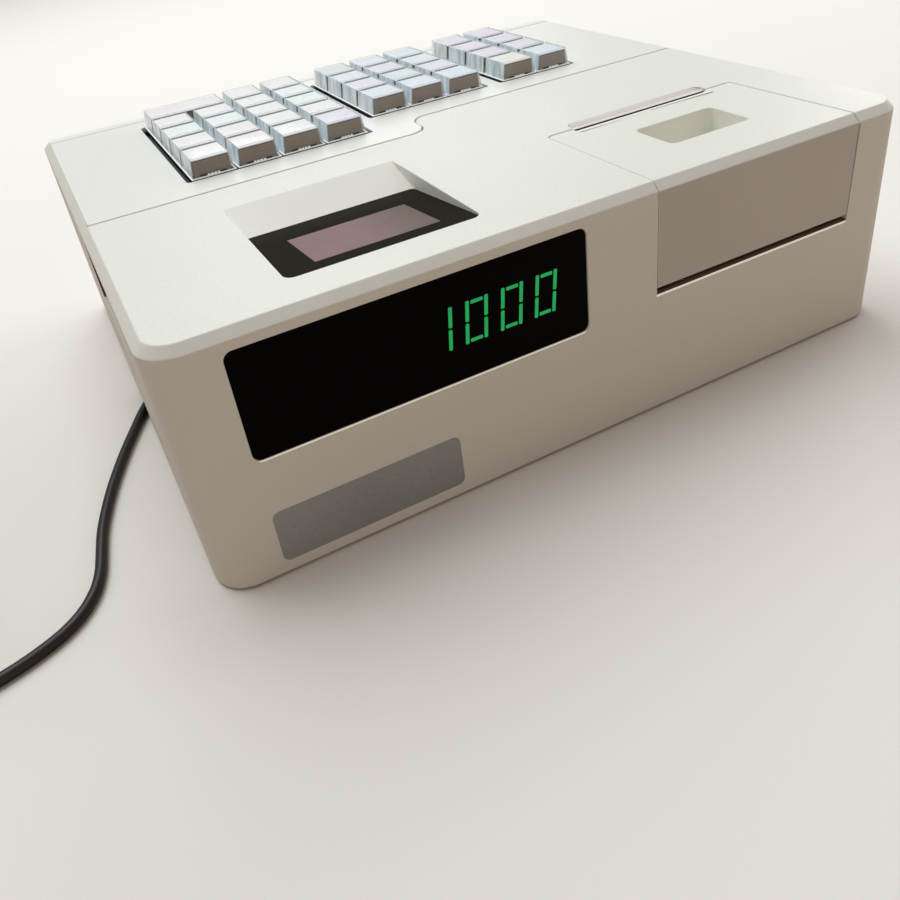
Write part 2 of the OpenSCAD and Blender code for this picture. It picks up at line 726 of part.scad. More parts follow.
// ---- paper cover: one moulding that wraps over the rear edge, hinged along its lower edge
module cover_shell() {
    c = edge_chamfer;
    t = cover_t;
    side_profile(cover_u, cover_w,
                 [[0, cover_low_z + low_chamfer], [0, top_z - c], [c, top_z], [cover_d, top_z],
                  [cover_d, top_z - t], [c + t * 0.5, top_z - t], [t, top_z - c - t * 0.5], [t, hinge_z + 3],
                  [hinge_v, hinge_z + barrel_r], [hinge_v, cover_low_z], [low_chamfer, cover_low_z]]);
    translate([cover_u, hinge_v, hinge_z]) rotate([0, 90, 0]) cylinder(h = cover_w, r = barrel_r);
    // the step beside the paper slot
    block([mid_u - cutter_l / 2, cover_d - eps, top_z - t], [cutter_l, step_w + eps, t - step_drop]);
    for (u = [cover_u, cover_end_u - skirt_t])
        side_profile(u, skirt_t,
                     [[0, hinge_z], [0, top_z - c], [c, top_z], [cover_d, top_z], [cover_d, platen_z - 3.5],
                      [platen_v - 6, platen_z - 3.5], [platen_v - 10, top_z - 6], [12, top_z - 6],
                      [hinge_v + barrel_r, hinge_z + 4], [hinge_v + barrel_r, hinge_z]]);
    for (u = [cover_u - hinge_pin_l, cover_end_u - eps])
        translate([u, hinge_v, hinge_z]) rotate([0, 90, 0]) cylinder(h = hinge_pin_l + eps, r = hinge_pin_r);
}

module paper_cover() {
    color([0.93, 0.93, 0.9]) from_rear_corner() difference() {
        union() {
            cover_shell();
            round_block([cover_u + pocket_u - pocket_wall, pocket_v - pocket_wall,
                         top_z - pocket_depth - pocket_wall],
                        [pocket_w + 2 * pocket_wall, pocket_l + 2 * pocket_wall, pocket_depth], 3);
        }
        round_block([cover_u + pocket_u, pocket_v, top_z - pocket_depth],
                    [pocket_w, pocket_l, pocket_depth + 1], 2.5);
        // rounded front corners
        for (side = [0, 1])
        translate([cover_u + side * cover_w, cover_d, 0]) mirror([side, 0, 0]) difference() {
            translate([-1, -cover_corner_r, 0]) cube([cover_corner_r + 1, cover_corner_r + 1, top_z + 1]);
            translate([cover_corner_r, -cover_corner_r, 0]) cylinder(h = top_z + 1, r = cover_corner_r);
        }
        translate([cover_u - 1, platen_v, platen_z]) rotate([0, 90, 0])
            cylinder(h = cover_w + 2, r = shaft_r + running_gap);
    }
}

// ---- platen: steel shaft, rubber sleeve, two bushings and the drive gear
module platen_roller() {
    color([0.2, 0.2, 0.2]) from_rear_corner() translate([cover_u, platen_v, platen_z]) rotate([0, 90, 0]) {
        translate([0, 0, 0.4]) cylinder(h = cover_w - 0.8, r = shaft_r);
        translate([0, 0, (cover_w - platen_l) / 2]) cylinder(h = platen_l, r = platen_r, $fn = 64);
        for (z = [arm_u, cover_w - arm_u - arm_t]) translate([0, 0, z]) cylinder(h = arm_t, r = bushing_r);
        translate([0, 0, arm_u + arm_t + 1]) linear_extrude(4) {
            circle(3.6);
            for (a = [0:22.5:337.5]) rotate(a) translate([0, -0.5]) square([4.6, 1]);
        }
    }
}

module paper_roll() {
    color([0.95, 0.95, 0.93]) from_rear_corner()
        translate([mid_u - roll_w / 2, well_v, roll_z]) rotate([0, 90, 0]) difference() {
            cylinder(h = roll_w, r = roll_r, $fn = 96);
            translate([0, 0, -1]) cylinder(h = roll_w + 2, r = core_r);
        }
}

// ---- power switch: a rocker on two pins, resting with its rear half pressed in
module power_switch() {
    color([0.1, 0.1, 0.1]) from_rear_corner() translate([rocker_u, rocker_v, rocker_z - rocker_w / 2]) {
        rotate([0, 0, rocker_rest]) linear_extrude(rocker_w) intersection() {
            circle(rocker_r);
            polygon([[2, -rocker_r], [-5.3, -rocker_r], [-4, 0], [-5.3, rocker_r], [2, rocker_r]]);
        }
        translate([0, 0, -rocker_ear + 0.3]) cylinder(h = rocker_w + 2 * rocker_ear - 0.6, r = rocker_pin_r);
    }
}

// ---- cord, plug and adapter
module dc_plug() {
    grip_l = 14;
    color([0.08, 0.08, 0.08]) from_rear_corner()
        translate([plug_u, plug_pocket_end_v - 0.4, plug_z]) rotate([90, 0, 0]) {
            cylinder(h = grip_l, r = plug_body_r);
            translate([0, 0, grip_l])
                cylinder(h = plug_body_l - grip_l, r1 = plug_body_r - 0.8, r2 = cord_r + 0.6);
            translate([0, 0, -plug_barrel_l]) cylinder(h = plug_barrel_l + eps, r = plug_barrel_d / 2);
        }
}

function unit(v) = v / norm(v);
function heading(p, i) = unit(p[min(i + 1, len(p) - 1)] - p[max(i - 1, 0)]);
// One ring of points about the cord's middle line, square to its heading
function ring(p, i, r, n) =
    let (t = heading(p, i), side = unit(cross(t, [0, 0, 1])), up = cross(side, t))
    [for (k = [0:n - 1]) p[i] + r * (cos(360 * k / n) * side + sin(360 * k / n) * up)];

// A round tube swept along points
module tube(p, r, n) {
    last = len(p) - 1;
    polyhedron(
        points = [for (i = [0:last]) each ring(p, i, r, n)],
        faces = concat(
            [[for (k = [0:n - 1]) k]],
            [for (i = [0:last - 1], k = [0:n - 1])
                [i * n + k, (i + 1) * n + k, (i + 1) * n + (k + 1) % n, i * n + (k + 1) % n]],
            [[for (k = [n - 1:-1:0]) last * n + k]]
        )
    );
}

module power_cord() {
    color([0.06, 0.06, 0.06]) from_rear_corner() {
        tube(cord_route, cord_r, 8);
        tube(cord_end_route, cord_r, 8);
    }
}

module cord_coil() {
    color([0.06, 0.06, 0.06]) from_rear_corner() translate([coil_u, coil_v, 0]) rotate_extrude($fn = 64)
        translate([coil_in_r, 0]) square([coil_out_r - coil_in_r, coil_h]);
}

module power_adapter() {
    color([0.1, 0.1, 0.1]) from_rear_corner() {
        round_block([adapter_u - adapter_w / 2, adapter_v, 0], [adapter_w, adapter_l, adapter_h], 3);
        translate([adapter_u, adapter_v + 0.5, 6]) rotate([90, 0, 0])
            cylinder(h = relief_l, r1 = 4, r2 = cord_r + 0.7);
        // two flat blades
        for (s = [-1, 1])
            block([adapter_u + s * 6.35 - 0.75, adapter_v + adapter_l - 1, adapter_h / 2 - 3.15],
                  [1.5, blade_l + 1, 6.3]);
    }
}

// ---- one key: a clear-capped key top on a stem; n is its width in key units
module taper_block(w, d, top_w, top_d, h) {
    intersection() {
        translate([0, d, 0]) rotate([90, 0, 0]) linear_extrude(d)
            polygon([[0, 0], [w, 0], [(w + top_w) / 2, h], [(w - top_w) / 2, h]]);
        rotate([90, 0, 90]) linear_extrude(w)
            polygon([[0, 0], [d, 0], [(d + top_d) / 2, h], [(d - top_d) / 2, h]]);
    }
}

module key(k) {
    w = key_w(k);
    h = key_top_z - key_skirt_z;
    lean_u = key_base - key_top_u;
    lean_v = key_base - key_top_v;
    t = key_wall;
    color([0.9, 0.92, 0.94]) from_rear_corner() translate([k[1], k[2], key_skirt_z]) {
        difference() {
            taper_block(w, key_base, w - lean_u, key_top_v, h);
            translate([t, t, -eps])
                taper_block(w - 2 * t, key_base - 2 * t,
                            w - 2 * t - lean_u, key_base - 2 * t - lean_v, h - 2);
        }
        translate([w / 2 - stem_side / 2, key_base / 2 - stem_side / 2, stem_z - key_skirt_z])
            cube([stem_side, stem_side, key_top_z - 2 - stem_z + 2 * eps]);
    }
}

upper_case();
keyboard_plate();
bottom_cover();
rubber_feet();
case_screws();
customer_window();
customer_display();
operator_window();
operator_display();
key_switch_board();
main_board();
printer_mechanism();
cutter_bar();
paper_cover();
platen_roller();
paper_roll();
power_switch();
dc_plug();
power_cord();
cord_coil();
power_adapter();
for (k = KEYS) key(k);
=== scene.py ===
import bmesh
import bpy
import math
from mathutils import Matrix, Vector


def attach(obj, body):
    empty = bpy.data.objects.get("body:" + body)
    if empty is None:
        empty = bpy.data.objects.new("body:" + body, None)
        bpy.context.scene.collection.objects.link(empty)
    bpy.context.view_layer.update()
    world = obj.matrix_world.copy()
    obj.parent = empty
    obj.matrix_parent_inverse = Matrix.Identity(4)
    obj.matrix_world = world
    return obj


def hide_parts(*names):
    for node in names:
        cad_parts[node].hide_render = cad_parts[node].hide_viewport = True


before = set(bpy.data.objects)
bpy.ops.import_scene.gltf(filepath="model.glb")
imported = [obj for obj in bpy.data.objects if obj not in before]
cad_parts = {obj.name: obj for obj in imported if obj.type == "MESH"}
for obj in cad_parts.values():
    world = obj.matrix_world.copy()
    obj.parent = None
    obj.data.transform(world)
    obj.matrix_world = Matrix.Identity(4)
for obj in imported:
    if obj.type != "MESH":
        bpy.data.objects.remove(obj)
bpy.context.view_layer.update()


# ---- View: a wide lens held close over the customer's left, looking down across the top and the
# rear face.
def placed(name, data):
    """A new object in the scene."""
    thing = bpy.data.objects.new(name, data)
    bpy.context.scene.collection.objects.link(thing)
    return thing


camera = bpy.data.cameras.new("camera")
camera.lens = 34.323
camera.sensor_width = 36
camera.shift_x = 0.00633
camera.shift_y = -0.09658
camera.clip_start = 0.01
stand = placed("camera", camera)
stand.matrix_world = Matrix((
    (-0.878292, -0.341390, 0.334749, 0.146749),
    (0.462789, -0.431100, 0.774583, 0.329704),
    (-0.120125, 0.835228, 0.536623, 0.198273),
    (0, 0, 0, 1),
))
bpy.context.scene.camera = stand
bpy.context.scene.view_settings.view_transform = "Standard"


# ---- Power lead: a 4 mm round PVC cord from the plug under the left side, laid on the counter and
# wound into a flat two-layer coil, with a sealed adapter at its end. A wire tie holds the coil.
half_wide, half_deep = 142.5, 122.5


def spot(u, v, z):
    """A point in metres from u and v, in mm from the rear corner over the cord, and height z."""
    return Vector((half_wide - u, half_deep - v, z)) / 1000


def measured(point):
    """A point's u, v and z in mm, as spot takes them."""
    return half_wide - point.x * 1000, half_deep - point.y * 1000, point.z * 1000


def colour(red, green, blue):
    """A finish's colour as eight-bit screen values, made linear."""
    return [*((c / 255 / 12.92 if c <= 10 else ((c / 255 + 0.055) / 1.055) ** 2.4)
              for c in (red, green, blue)), 1]


def new_finish(name, tint, roughness, specular=0.5):
    """A material set to a plain finish. Gives the material, its nodes and its shader."""
    finish = bpy.data.materials.new(name)
    finish.use_nodes = True
    shader = finish.node_tree.nodes["Principled BSDF"]
    shader.inputs["Base Color"].default_value = colour(*tint)
    shader.inputs["Roughness"].default_value = roughness
    shader.inputs["Specular IOR Level"].default_value = specular
    return finish, finish.node_tree, shader


def add_node(tree, kind, values=(), **settings):
    """A new shader node with its settings made, and then the values of its inputs."""
    made = tree.nodes.new("ShaderNode" + kind)
    for label, value in settings.items():
        setattr(made, label, value)
    for label, value in dict(values).items():
        made.inputs[label].default_value = value
    return made


def link(tree, *joints):
    """Join nodes. Each joint gives a node and its output, then a node and its input."""
    for source, output, target, entry in joints:
        tree.links.new(source.outputs[output], target.inputs[entry])


def new_effect(name, sockets):
    """An empty shader node group; sockets lists (name, IN or OUT, kind, value)."""
    effect = bpy.data.node_groups.new(name, "ShaderNodeTree")
    for label, way, kind, value in sockets:
        made = effect.interface.new_socket(label, in_out=way + "PUT",
                                           socket_type="NodeSocket" + kind)
        if value is not None:
            made.default_value = value
    return effect, effect.nodes.new("NodeGroupInput"), effect.nodes.new("NodeGroupOutput")


# A worked surface: slow changes of tone and gloss, and a fine grain that shows as relief and fleck
worked, given, result = new_effect("worked_surface", [
    ("Tone", "IN", "Color", (0.8, 0.8, 0.8, 1)),
    ("Deeper Tone", "IN", "Color", (0.7, 0.7, 0.7, 1)),
    ("Grain", "IN", "Float", 1500.0),
    ("Fleck", "IN", "Float", 0.0),
    ("Drift", "IN", "Float", 18.0),
    ("Gloss Low", "IN", "Float", 0.4),
    ("Gloss High", "IN", "Float", 0.5),
    ("Color", "OUT", "Color", None),
    ("Roughness", "OUT", "Float", None),
    ("Height", "OUT", "Float", None),
])
where = add_node(worked, "TexCoord")
drift = add_node(worked, "TexNoise", {"Detail": 3})
grain = add_node(worked, "TexNoise", {"Detail": 2, "Roughness": 0.6})
fleck = add_node(worked, "MapRange",
                 {"From Min": 0.35, "From Max": 0.65, "To Min": -0.5, "To Max": 0.5})
flecked = add_node(worked, "Math", operation="MULTIPLY_ADD")
tone = add_node(worked, "Mix", data_type="RGBA")
gloss = add_node(worked, "MapRange", {"From Min": 0.3, "From Max": 0.7})
link(worked,
     (where, "Object", drift, "Vector"), (where, "Object", grain, "Vector"),
     (given, "Drift", drift, "Scale"), (given, "Grain", grain, "Scale"),
     (grain, "Fac", fleck, "Value"), (fleck, "Result", flecked, 0),
     (given, "Fleck", flecked, 1), (drift, "Fac", flecked, 2),
     (flecked, 0, tone, "Factor"), (given, "Tone", tone, "A"), (given, "Deeper Tone", tone, "B"),
     (drift, "Fac", gloss, "Value"), (given, "Gloss Low", gloss, "To Min"),
     (given, "Gloss High", gloss, "To Max"), (tone, "Result", result, "Color"),
     (gloss, "Result", result, "Roughness"), (grain, "Fac", result, "Height"))


def surfaced(name, tone, deeper, gloss, grain=1500, depth=0.01, fleck=0, drift=18, specular=0.5,
             also=()):
    """A material with the worked surface: two tones, roughness low and high, and the grain's
    fineness per metre, its depth in mm and how far it flecks the tone. also sets further shader
    inputs."""
    finish, tree, shader = new_finish(name, tone, gloss[0], specular)
    effect = add_node(tree, "Group", {
        "Tone": colour(*tone), "Deeper Tone": colour(*deeper), "Grain": grain, "Fleck": fleck,
        "Drift": drift, "Gloss Low": gloss[0], "Gloss High": gloss[1]}, node_tree=worked)
    relief = add_node(tree, "Bump", {"Distance": depth / 1000})
    link(tree, (effect, "Height", relief, "Height"), (effect, "Color", shader, "Base Color"),
         (effect, "Roughness", shader, "Roughness"), (relief, "Normal", shader, "Normal"))
    for label, value in dict(also).items():
        shader.inputs[label].default_value = value
    return finish


def made_piece(mesh, name, finishes, body="case", soft=32):
    """Turn a finished bmesh into a piece that rides on a body. Strips under 3 mm wide that meet at
    less than soft degrees run smoothly into each other, and broad flats beside them stay flat."""
    strip_width, same_way = 0.003, 0.9999
    mesh.normal_update()
    area = {face: face.calc_area() for face in mesh.faces}
    narrow = {face: 2 * area[face] < strip_width * face.calc_perimeter() for face in mesh.faces}
    limit = math.cos(math.radians(soft))
    normals = []
    for face in mesh.faces:
        face.smooth = True
        for corner in face.loops:
            blend = Vector()
            for other in corner.vert.link_faces:
                facing = face.normal.dot(other.normal)
                if facing > same_way or facing > limit and (narrow[face] or narrow[other]):
                    blend += other.normal * area[other]
            normals.append(blend.normalized() if blend.length > 0 else face.normal.copy())
    data = bpy.data.meshes.new(name)
    mesh.to_mesh(data)
    mesh.free()
    data.normals_split_custom_set(normals)
    for finish in finishes:
        data.materials.append(finish)
    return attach(placed(name, data), body)


def once(parts):
    """Each part of a mesh once, in the order they come."""
    return list(dict.fromkeys(parts))


def rounded(mesh, edges, width, steps):
    """Round some edges by a width in mm, and give the new faces."""
    return bmesh.ops.bevel(mesh, geom=edges, offset=width / 1000, segments=steps, profile=0.5,
                           affect="EDGES", material=-1)["faces"]


def block(mesh, low, high, rounding=0, steps=2, finish=0):
    """Add a box between two corners given as (u, v, z) in mm, its edges rounded."""
    a, b = spot(*low), spot(*high)
    size = [abs(x) for x in (b - a)]
    made = bmesh.ops.create_cube(mesh, size=1, matrix=Matrix.Translation((a + b) / 2)
                                 @ Matrix.Diagonal((*size, 1)))
    faces = once(face for corner in made["verts"] for face in corner.link_faces)
    for face in faces:
        face.material_index = finish
    if rounding:
        rounded(mesh, once(edge for face in faces for edge in face.edges), rounding, steps)


def turned(mesh, profile, middle, along, steps=32, finish=0):
    """Spin a profile of (distance along the axis, radius) pairs, in mm, round an axis by middle."""
    along = Vector(along).normalized()
    side = along.orthogonal().normalized()
    line = [mesh.verts.new(middle + (along * far + side * radius) / 1000)
            for far, radius in profile]
    edges = [mesh.edges.new(pair) for pair in zip(line, line[1:])]
    before = set(mesh.faces)
    bmesh.ops.spin(mesh, geom=line + edges, cent=middle, axis=along, angle=math.tau, steps=steps,
                   use_merge=True)
    skin = [face for face in mesh.faces if face not in before]
    bmesh.ops.remove_doubles(mesh, verts=once(corner for face in skin for corner in face.verts),
                             dist=1e-6)
    skin = [face for face in mesh.faces if face not in before]
    bmesh.ops.recalc_face_normals(mesh, faces=skin)
    for face in skin:
        face.material_index = finish


def cut(mesh, place, across, faces=None):
    """Cut a mesh, or some of its faces, where a plane crosses them, and give the cut's geometry."""
    if faces is None:
        parts = mesh.verts[:] + mesh.edges[:] + mesh.faces[:]
    else:
        parts = once([*faces, *(edge for face in faces for edge in face.edges),
                      *(corner for face in faces for corner in face.verts)])
    return bmesh.ops.bisect_plane(mesh, geom=parts, plane_co=place, plane_no=across,
                                  dist=1e-7)["geom_cut"]


def wire(name, places, radius, roundness, finish):
    """A round wire through places given as (u, v, z), its radius in mm."""
    curve = bpy.data.curves.new(name, "CURVE")
    curve.dimensions = "3D"
    curve.bevel_depth = radius / 1000
    curve.bevel_resolution = roundness
    line = curve.splines.new("BEZIER")
    line.bezier_points.add(len(places) - 1)
    for knot, place in zip(line.bezier_points, places):
        knot.co = spot(*place)
        knot.handle_left_type = knot.handle_right_type = "AUTO"
    curve.materials.append(finish)
    return placed(name, curve)


cord_wide = 4
coil_u, coil_v = -104, 35
adapter_u = -136
cord_route = [
    (13, 157, 9), (13, 151, 9), (12, 145, 7), (9.5, 139.5, 4.5), (6, 134.5, 2.8), (2.5, 130, 2.2),
    (-1, 124.5, 2), (-7, 112.5, 2), (-12.5, 101, 2), (-17.5, 89.5, 2), (-22, 78, 2), (-26, 66, 2),
    (-29, 55, 2), (-31, 44, 2), (-33, 34, 2), (-37, 24.5, 2), (-44, 16.5, 2), (-54, 11, 2),
    (-65, 7.5, 2), (-77, 5, 2), (-90, 3.5, 2), (-104, 3, 2),
]
# the coil: four turns inwards on the counter, then four outwards that lie on top of them
turn_steps, layer_turns = 20, 4
outer_reach, inner_reach = 32, 16
for step in range(1, 8 * turn_steps + 6):
    turn = step / turn_steps
    if turn < layer_turns:
        reach, lift = outer_reach - cord_wide * turn, 2
    else:
        reach = inner_reach + cord_wide * max(0, turn - 4.25)
        lift = min(6, 2 + 16 * (turn - layer_turns))
    cord_route.append((coil_u - reach * math.sin(math.tau * turn),
                       coil_v - reach * math.cos(math.tau * turn), lift))
cord_route += [(adapter_u, v, z) for v, z in (
    (42, 5.5), (49, 3.8), (56, 2.6), (63, 3.4), (70, 5.2), (76, 6), (87, 6), (98, 6))]
cord_finish = surfaced(
    "black_pvc", (22, 22, 23), (15, 15, 16), (0.38, 0.5), grain=900, depth=0.02, drift=60)
power_cord = wire("power_cord_jacket", cord_route, cord_wide / 2, 4, cord_finish)
power_cord.data.resolution_u = 3
power_cord.data.use_fill_caps = True
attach(power_cord, "case")
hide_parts("power_cord", "cord_coil")

black_plastic = surfaced(
    "black_moulding", (30, 30, 31), (22, 22, 23), (0.42, 0.55), grain=2200, depth=0.05, drift=40)

# Drawn metal: the fine lines of the rolling, which change its gloss across them
drawn, given, result = new_effect("drawn_metal", [
    ("Gloss Low", "IN", "Float", 0.2),
    ("Gloss High", "IN", "Float", 0.42),
    ("Roughness", "OUT", "Float", None),
])
where = add_node(drawn, "TexCoord")
stretch = add_node(drawn, "Mapping", {"Scale": (120, 4200, 4200)})
lines = add_node(drawn, "TexNoise", {"Scale": 1})
dull = add_node(drawn, "MapRange")
link(drawn,
     (where, "Object", stretch, "Vector"), (stretch, "Vector", lines, "Vector"),
     (lines, "Fac", dull, "Value"), (given, "Gloss Low", dull, "To Min"),
     (given, "Gloss High", dull, "To Max"), (dull, "Result", result, "Roughness"))


def metal(name, tint, low, high):
    """A drawn metal with its roughness between low and high."""
    finish, tree, shader = new_finish(name, tint, low)
    shader.inputs["Metallic"].default_value = 1
    effect = add_node(tree, "Group", {"Gloss Low": low, "Gloss High": high}, node_tree=drawn)
    link(tree, (effect, "Roughness", shader, "Roughness"))
    return finish


plated = metal("plated_steel", (190, 190, 186), 0.2, 0.42)

# the barrel plug: a ribbed grip, a slotted strain relief and a plated barrel
plug = bmesh.new()
plug_mouth = spot(13, 179.6, 9)
grip = [(0, 0), (0, 4.2), (0.5, 4.75), (2, 4.8)]
for rib in range(5):
    start = 3.2 + rib * 1.7
    grip += [(start, 4.8), (start + 0.3, 4.4), (start + 0.9, 4.4), (start + 1.2, 4.8)]
grip += [(13.5, 4.8), (14, 4.1)]
for rib in range(4):
    start = 14.6 + rib * 2.2
    width = 3.9 - rib * 0.3
    grip += [(start, width), (start + 0.2, width - 0.9), (start + 1, width - 0.95),
             (start + 1.2, width - 0.1)]
grip += [(23.8, 2.5), (24, 2.1)]
barrel = [(0.2, 2.75), (-9.2, 2.75), (-9.5, 2.45), (-9.5, 1.3), (-2, 1.3), (-2, 0)]
turned(plug, grip, plug_mouth, (0, 1, 0))
turned(plug, barrel, plug_mouth, (0, 1, 0), finish=1)
dc_plug = made_piece(plug, "barrel_plug", [black_plastic, plated])
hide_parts("dc_plug")

# the adapter: two welded half shells with a seam 0.4 mm deep at half height, a bare label recess, a
# strain relief and two flat blades
adapter = bmesh.new()
block(adapter, (-159, 86, 0), (-113, 158, 30), 3, 4)
for height in (14.6, 14.9, 15.5, 15.8):
    cut(adapter, (0, 0, height / 1000), (0, 0, 1))
middle = spot(adapter_u, 122, 15)
for corner in adapter.verts:
    if 0.01485 < corner.co.z < 0.01555:
        corner.co.x = middle.x + (corner.co.x - middle.x) * (22.6 / 23)
        corner.co.y = middle.y + (corner.co.y - middle.y) * (35.6 / 36)
top = max(adapter.faces, key=lambda face: face.calc_area() * (face.normal.z > 0.9))
for thickness in (0.006, 0.0003):
    bmesh.ops.inset_region(adapter, faces=[top], thickness=thickness, use_even_offset=True)
bmesh.ops.translate(adapter, verts=top.verts, vec=(0, 0, -0.0003))
relief = [(0, 4.6), (1.2, 4.6), (1.6, 4)]
for rib in range(5):
    start = 2 + rib * 2
    width = 3.9 - rib * 0.2
    relief += [(start, width), (start + 0.2, width - 0.7), (start + 0.9, width - 0.75),
               (start + 1.1, width - 0.05)]
relief += [(11.8, 2.8), (12, 2.1)]
turned(adapter, relief, spot(adapter_u, 86.5, 6), (0, 1, 0))
for blade_u in (adapter_u - 6.35, adapter_u + 6.35):
    block(adapter, (blade_u - 0.75, 157.5, 11.85), (blade_u + 0.75, 173, 18.15), 0.35, 2, finish=1)
power_adapter = made_piece(adapter, "mains_adapter", [black_plastic, plated])
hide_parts("power_adapter")

# the wire tie: two turns round the coil's bundle, each of sixteen steps
tie_places = []
for step in range(33):
    angle = math.tau * step / 16
    tie_places.append((coil_u + 24 + 10.2 * math.cos(angle), coil_v + 1.2 * step / 16 - 1,
                       max(0.6, 4 + 4.9 * math.sin(angle))))
coil_tie = wire("coil_tie", tie_places, 0.5, 2, black_plastic)
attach(coil_tie, "case")


# ---- Counter: a plain pale floor under soft shop light. Big soft lamps hang overhead, behind the
# operator and on the far right, with a little warm light from the left and the customer's side.
floor_mesh = bmesh.new()
bmesh.ops.create_circle(floor_mesh, cap_ends=True, cap_tris=False, segments=96, radius=6)
floor_data = bpy.data.meshes.new("counter_floor")
floor_mesh.to_mesh(floor_data)
floor_mesh.free()
counter_floor = placed("counter_floor", floor_data)
# the floor is paler to the camera than in the light that it sends back to the register
pale_floor, tree, shader = new_finish("pale_floor", (240, 239, 236), 0.9, 0.1)
seen = add_node(tree, "LightPath")
pale = add_node(tree, "Mix", {"A": colour(200, 183, 170), "B": colour(237, 236, 233)},
                data_type="RGBA")
link(tree, (seen, "Is Camera Ray", pale, "Factor"), (pale, "Result", shader, "Base Color"))
floor_data.materials.append(pale_floor)


def soft_lamp(name, place, aim, size, power, tint):
    """A square area lamp at a place in metres, turned to its aim."""
    lamp = bpy.data.lights.new(name, "AREA")
    lamp.size = size
    lamp.energy = power
    lamp.color = tint
    holder = placed(name, lamp)
    holder.location = place
    holder.rotation_euler = (Vector(aim) - Vector(place)).to_track_quat("-Z", "Y").to_euler()


body_middle, far_top = (0, 0, 0.05), (-0.1, 0, 0.09)
soft_lamp("ceiling_lamp", (0.3, -0.68, 1.65), (0, 0, 0), 1.6, 24.7, (0.965, 1, 1.015))
soft_lamp("operator_lamp", (-0.6, -1.6, 1.1), body_middle, 1.0, 6, (0.95, 1, 1.04))
soft_lamp("right_lamp", (-1.3, 0, 1.2), far_top, 0.6, 3, (0.96, 1, 1.02))
soft_lamp("left_lamp", (1.6, -0.3, 0.9), body_middle, 0.9, 0.7, (1, 0.9, 0.8))
soft_lamp("far_lamp", (-1.8, -0.8, 0.55), far_top, 0.9, 9, (1, 0.99, 0.98))
soft_lamp("customer_lamp", (-0.5, 2.2, 0.7), body_middle, 1.6, 3.6, (1, 0.88, 0.82))
# the air round it all: white to the camera, and a dim warm light on the register
sky = bpy.data.worlds.new("shop_light")
bpy.context.scene.world = sky
sky.use_nodes = True
tree = sky.node_tree
air = tree.nodes["Background"]
air.inputs["Strength"].default_value = 1
seen = add_node(tree, "LightPath")
air_tint = add_node(tree, "Mix", {"A": colour(140, 129, 119), "B": (1, 1, 1, 1)}, data_type="RGBA")
link(tree, (seen, "Is Camera Ray", air_tint, "Factor"), (air_tint, "Result", air, "Color"))


# ---- Case: one off-white ABS moulding with the top, the four sides, the printer bay and the
# sunken display. Its top is spark-eroded to a fine sparkle, and its edges carry small radii.
def moulding(node, cuts=()):
    """A node's own shape with its corners merged and its flats made whole. cuts lists (u, v or z as
    0 to 2, mm) planes that leave no face with a hole in it."""
    mesh = bmesh.new()
    mesh.from_mesh(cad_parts[node].data)
    bmesh.ops.remove_doubles(mesh, verts=mesh.verts, dist=0.000005)
    for axis, far in cuts:
        place, across = [0, 0, 0], [0, 0, 0]
        place[axis], across[axis] = far, 1
        for part in cut(mesh, spot(*place), across):
            if isinstance(part, bmesh.types.BMEdge):
                part.seam = True
    bmesh.ops.dissolve_limit(mesh, angle_limit=math.radians(0.3), verts=mesh.verts,
                             edges=mesh.edges, delimit={"SEAM"})
    return mesh


def softened(node, name, finishes, width, body="case", finish_of=None, worked_on=None,
             cuts=(), above=-1):
    """A moulding with its broad edges rounded by width, in mm, to stand for its node. worked_on
    shapes it before that, and finish_of picks a face's finish from its centre's u, v and z. Edges
    that lie under above, in mm, stay sharp."""
    mesh = moulding(node, cuts)
    if worked_on:
        worked_on(mesh)

    def reach(face, edge):
        """How far a face reaches from one of its edges."""
        start = edge.verts[0].co
        along = (edge.verts[1].co - start).normalized()
        return max((corner.co - start - along * (corner.co - start).dot(along)).length
                   for corner in face.verts)

    if width:
        sharp, broad = math.radians(28), 0.0024 * width
        edges = [edge for edge in mesh.edges
                 if len(edge.link_faces) == 2 and edge.calc_face_angle(0) > sharp
                 and max(corner.co.z for corner in edge.verts) > above / 1000
                 and min(reach(face, edge) for face in edge.link_faces) > broad]
        rounded(mesh, edges, width, 3)
    if finish_of:
        for face in mesh.faces:
            face.material_index = finish_of(*measured(face.calc_center_median()))
    piece = made_piece(mesh, name, finishes, body)
    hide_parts(node)
    return piece


def faces_within(mesh, low, high):
    """The faces whose centres lie between two corners given as (u, v, z) in mm."""
    return [face for face in mesh.faces
            if all(least < value < most for least, value, most
                   in zip(low, measured(face.calc_center_median()), high))]


top_z = 90
slot_left, slot_right = 181, 248
cover_left, cover_right = 169, 260.2
seat_low, seat_high = 48, 49.3
shadow_start = 0.5


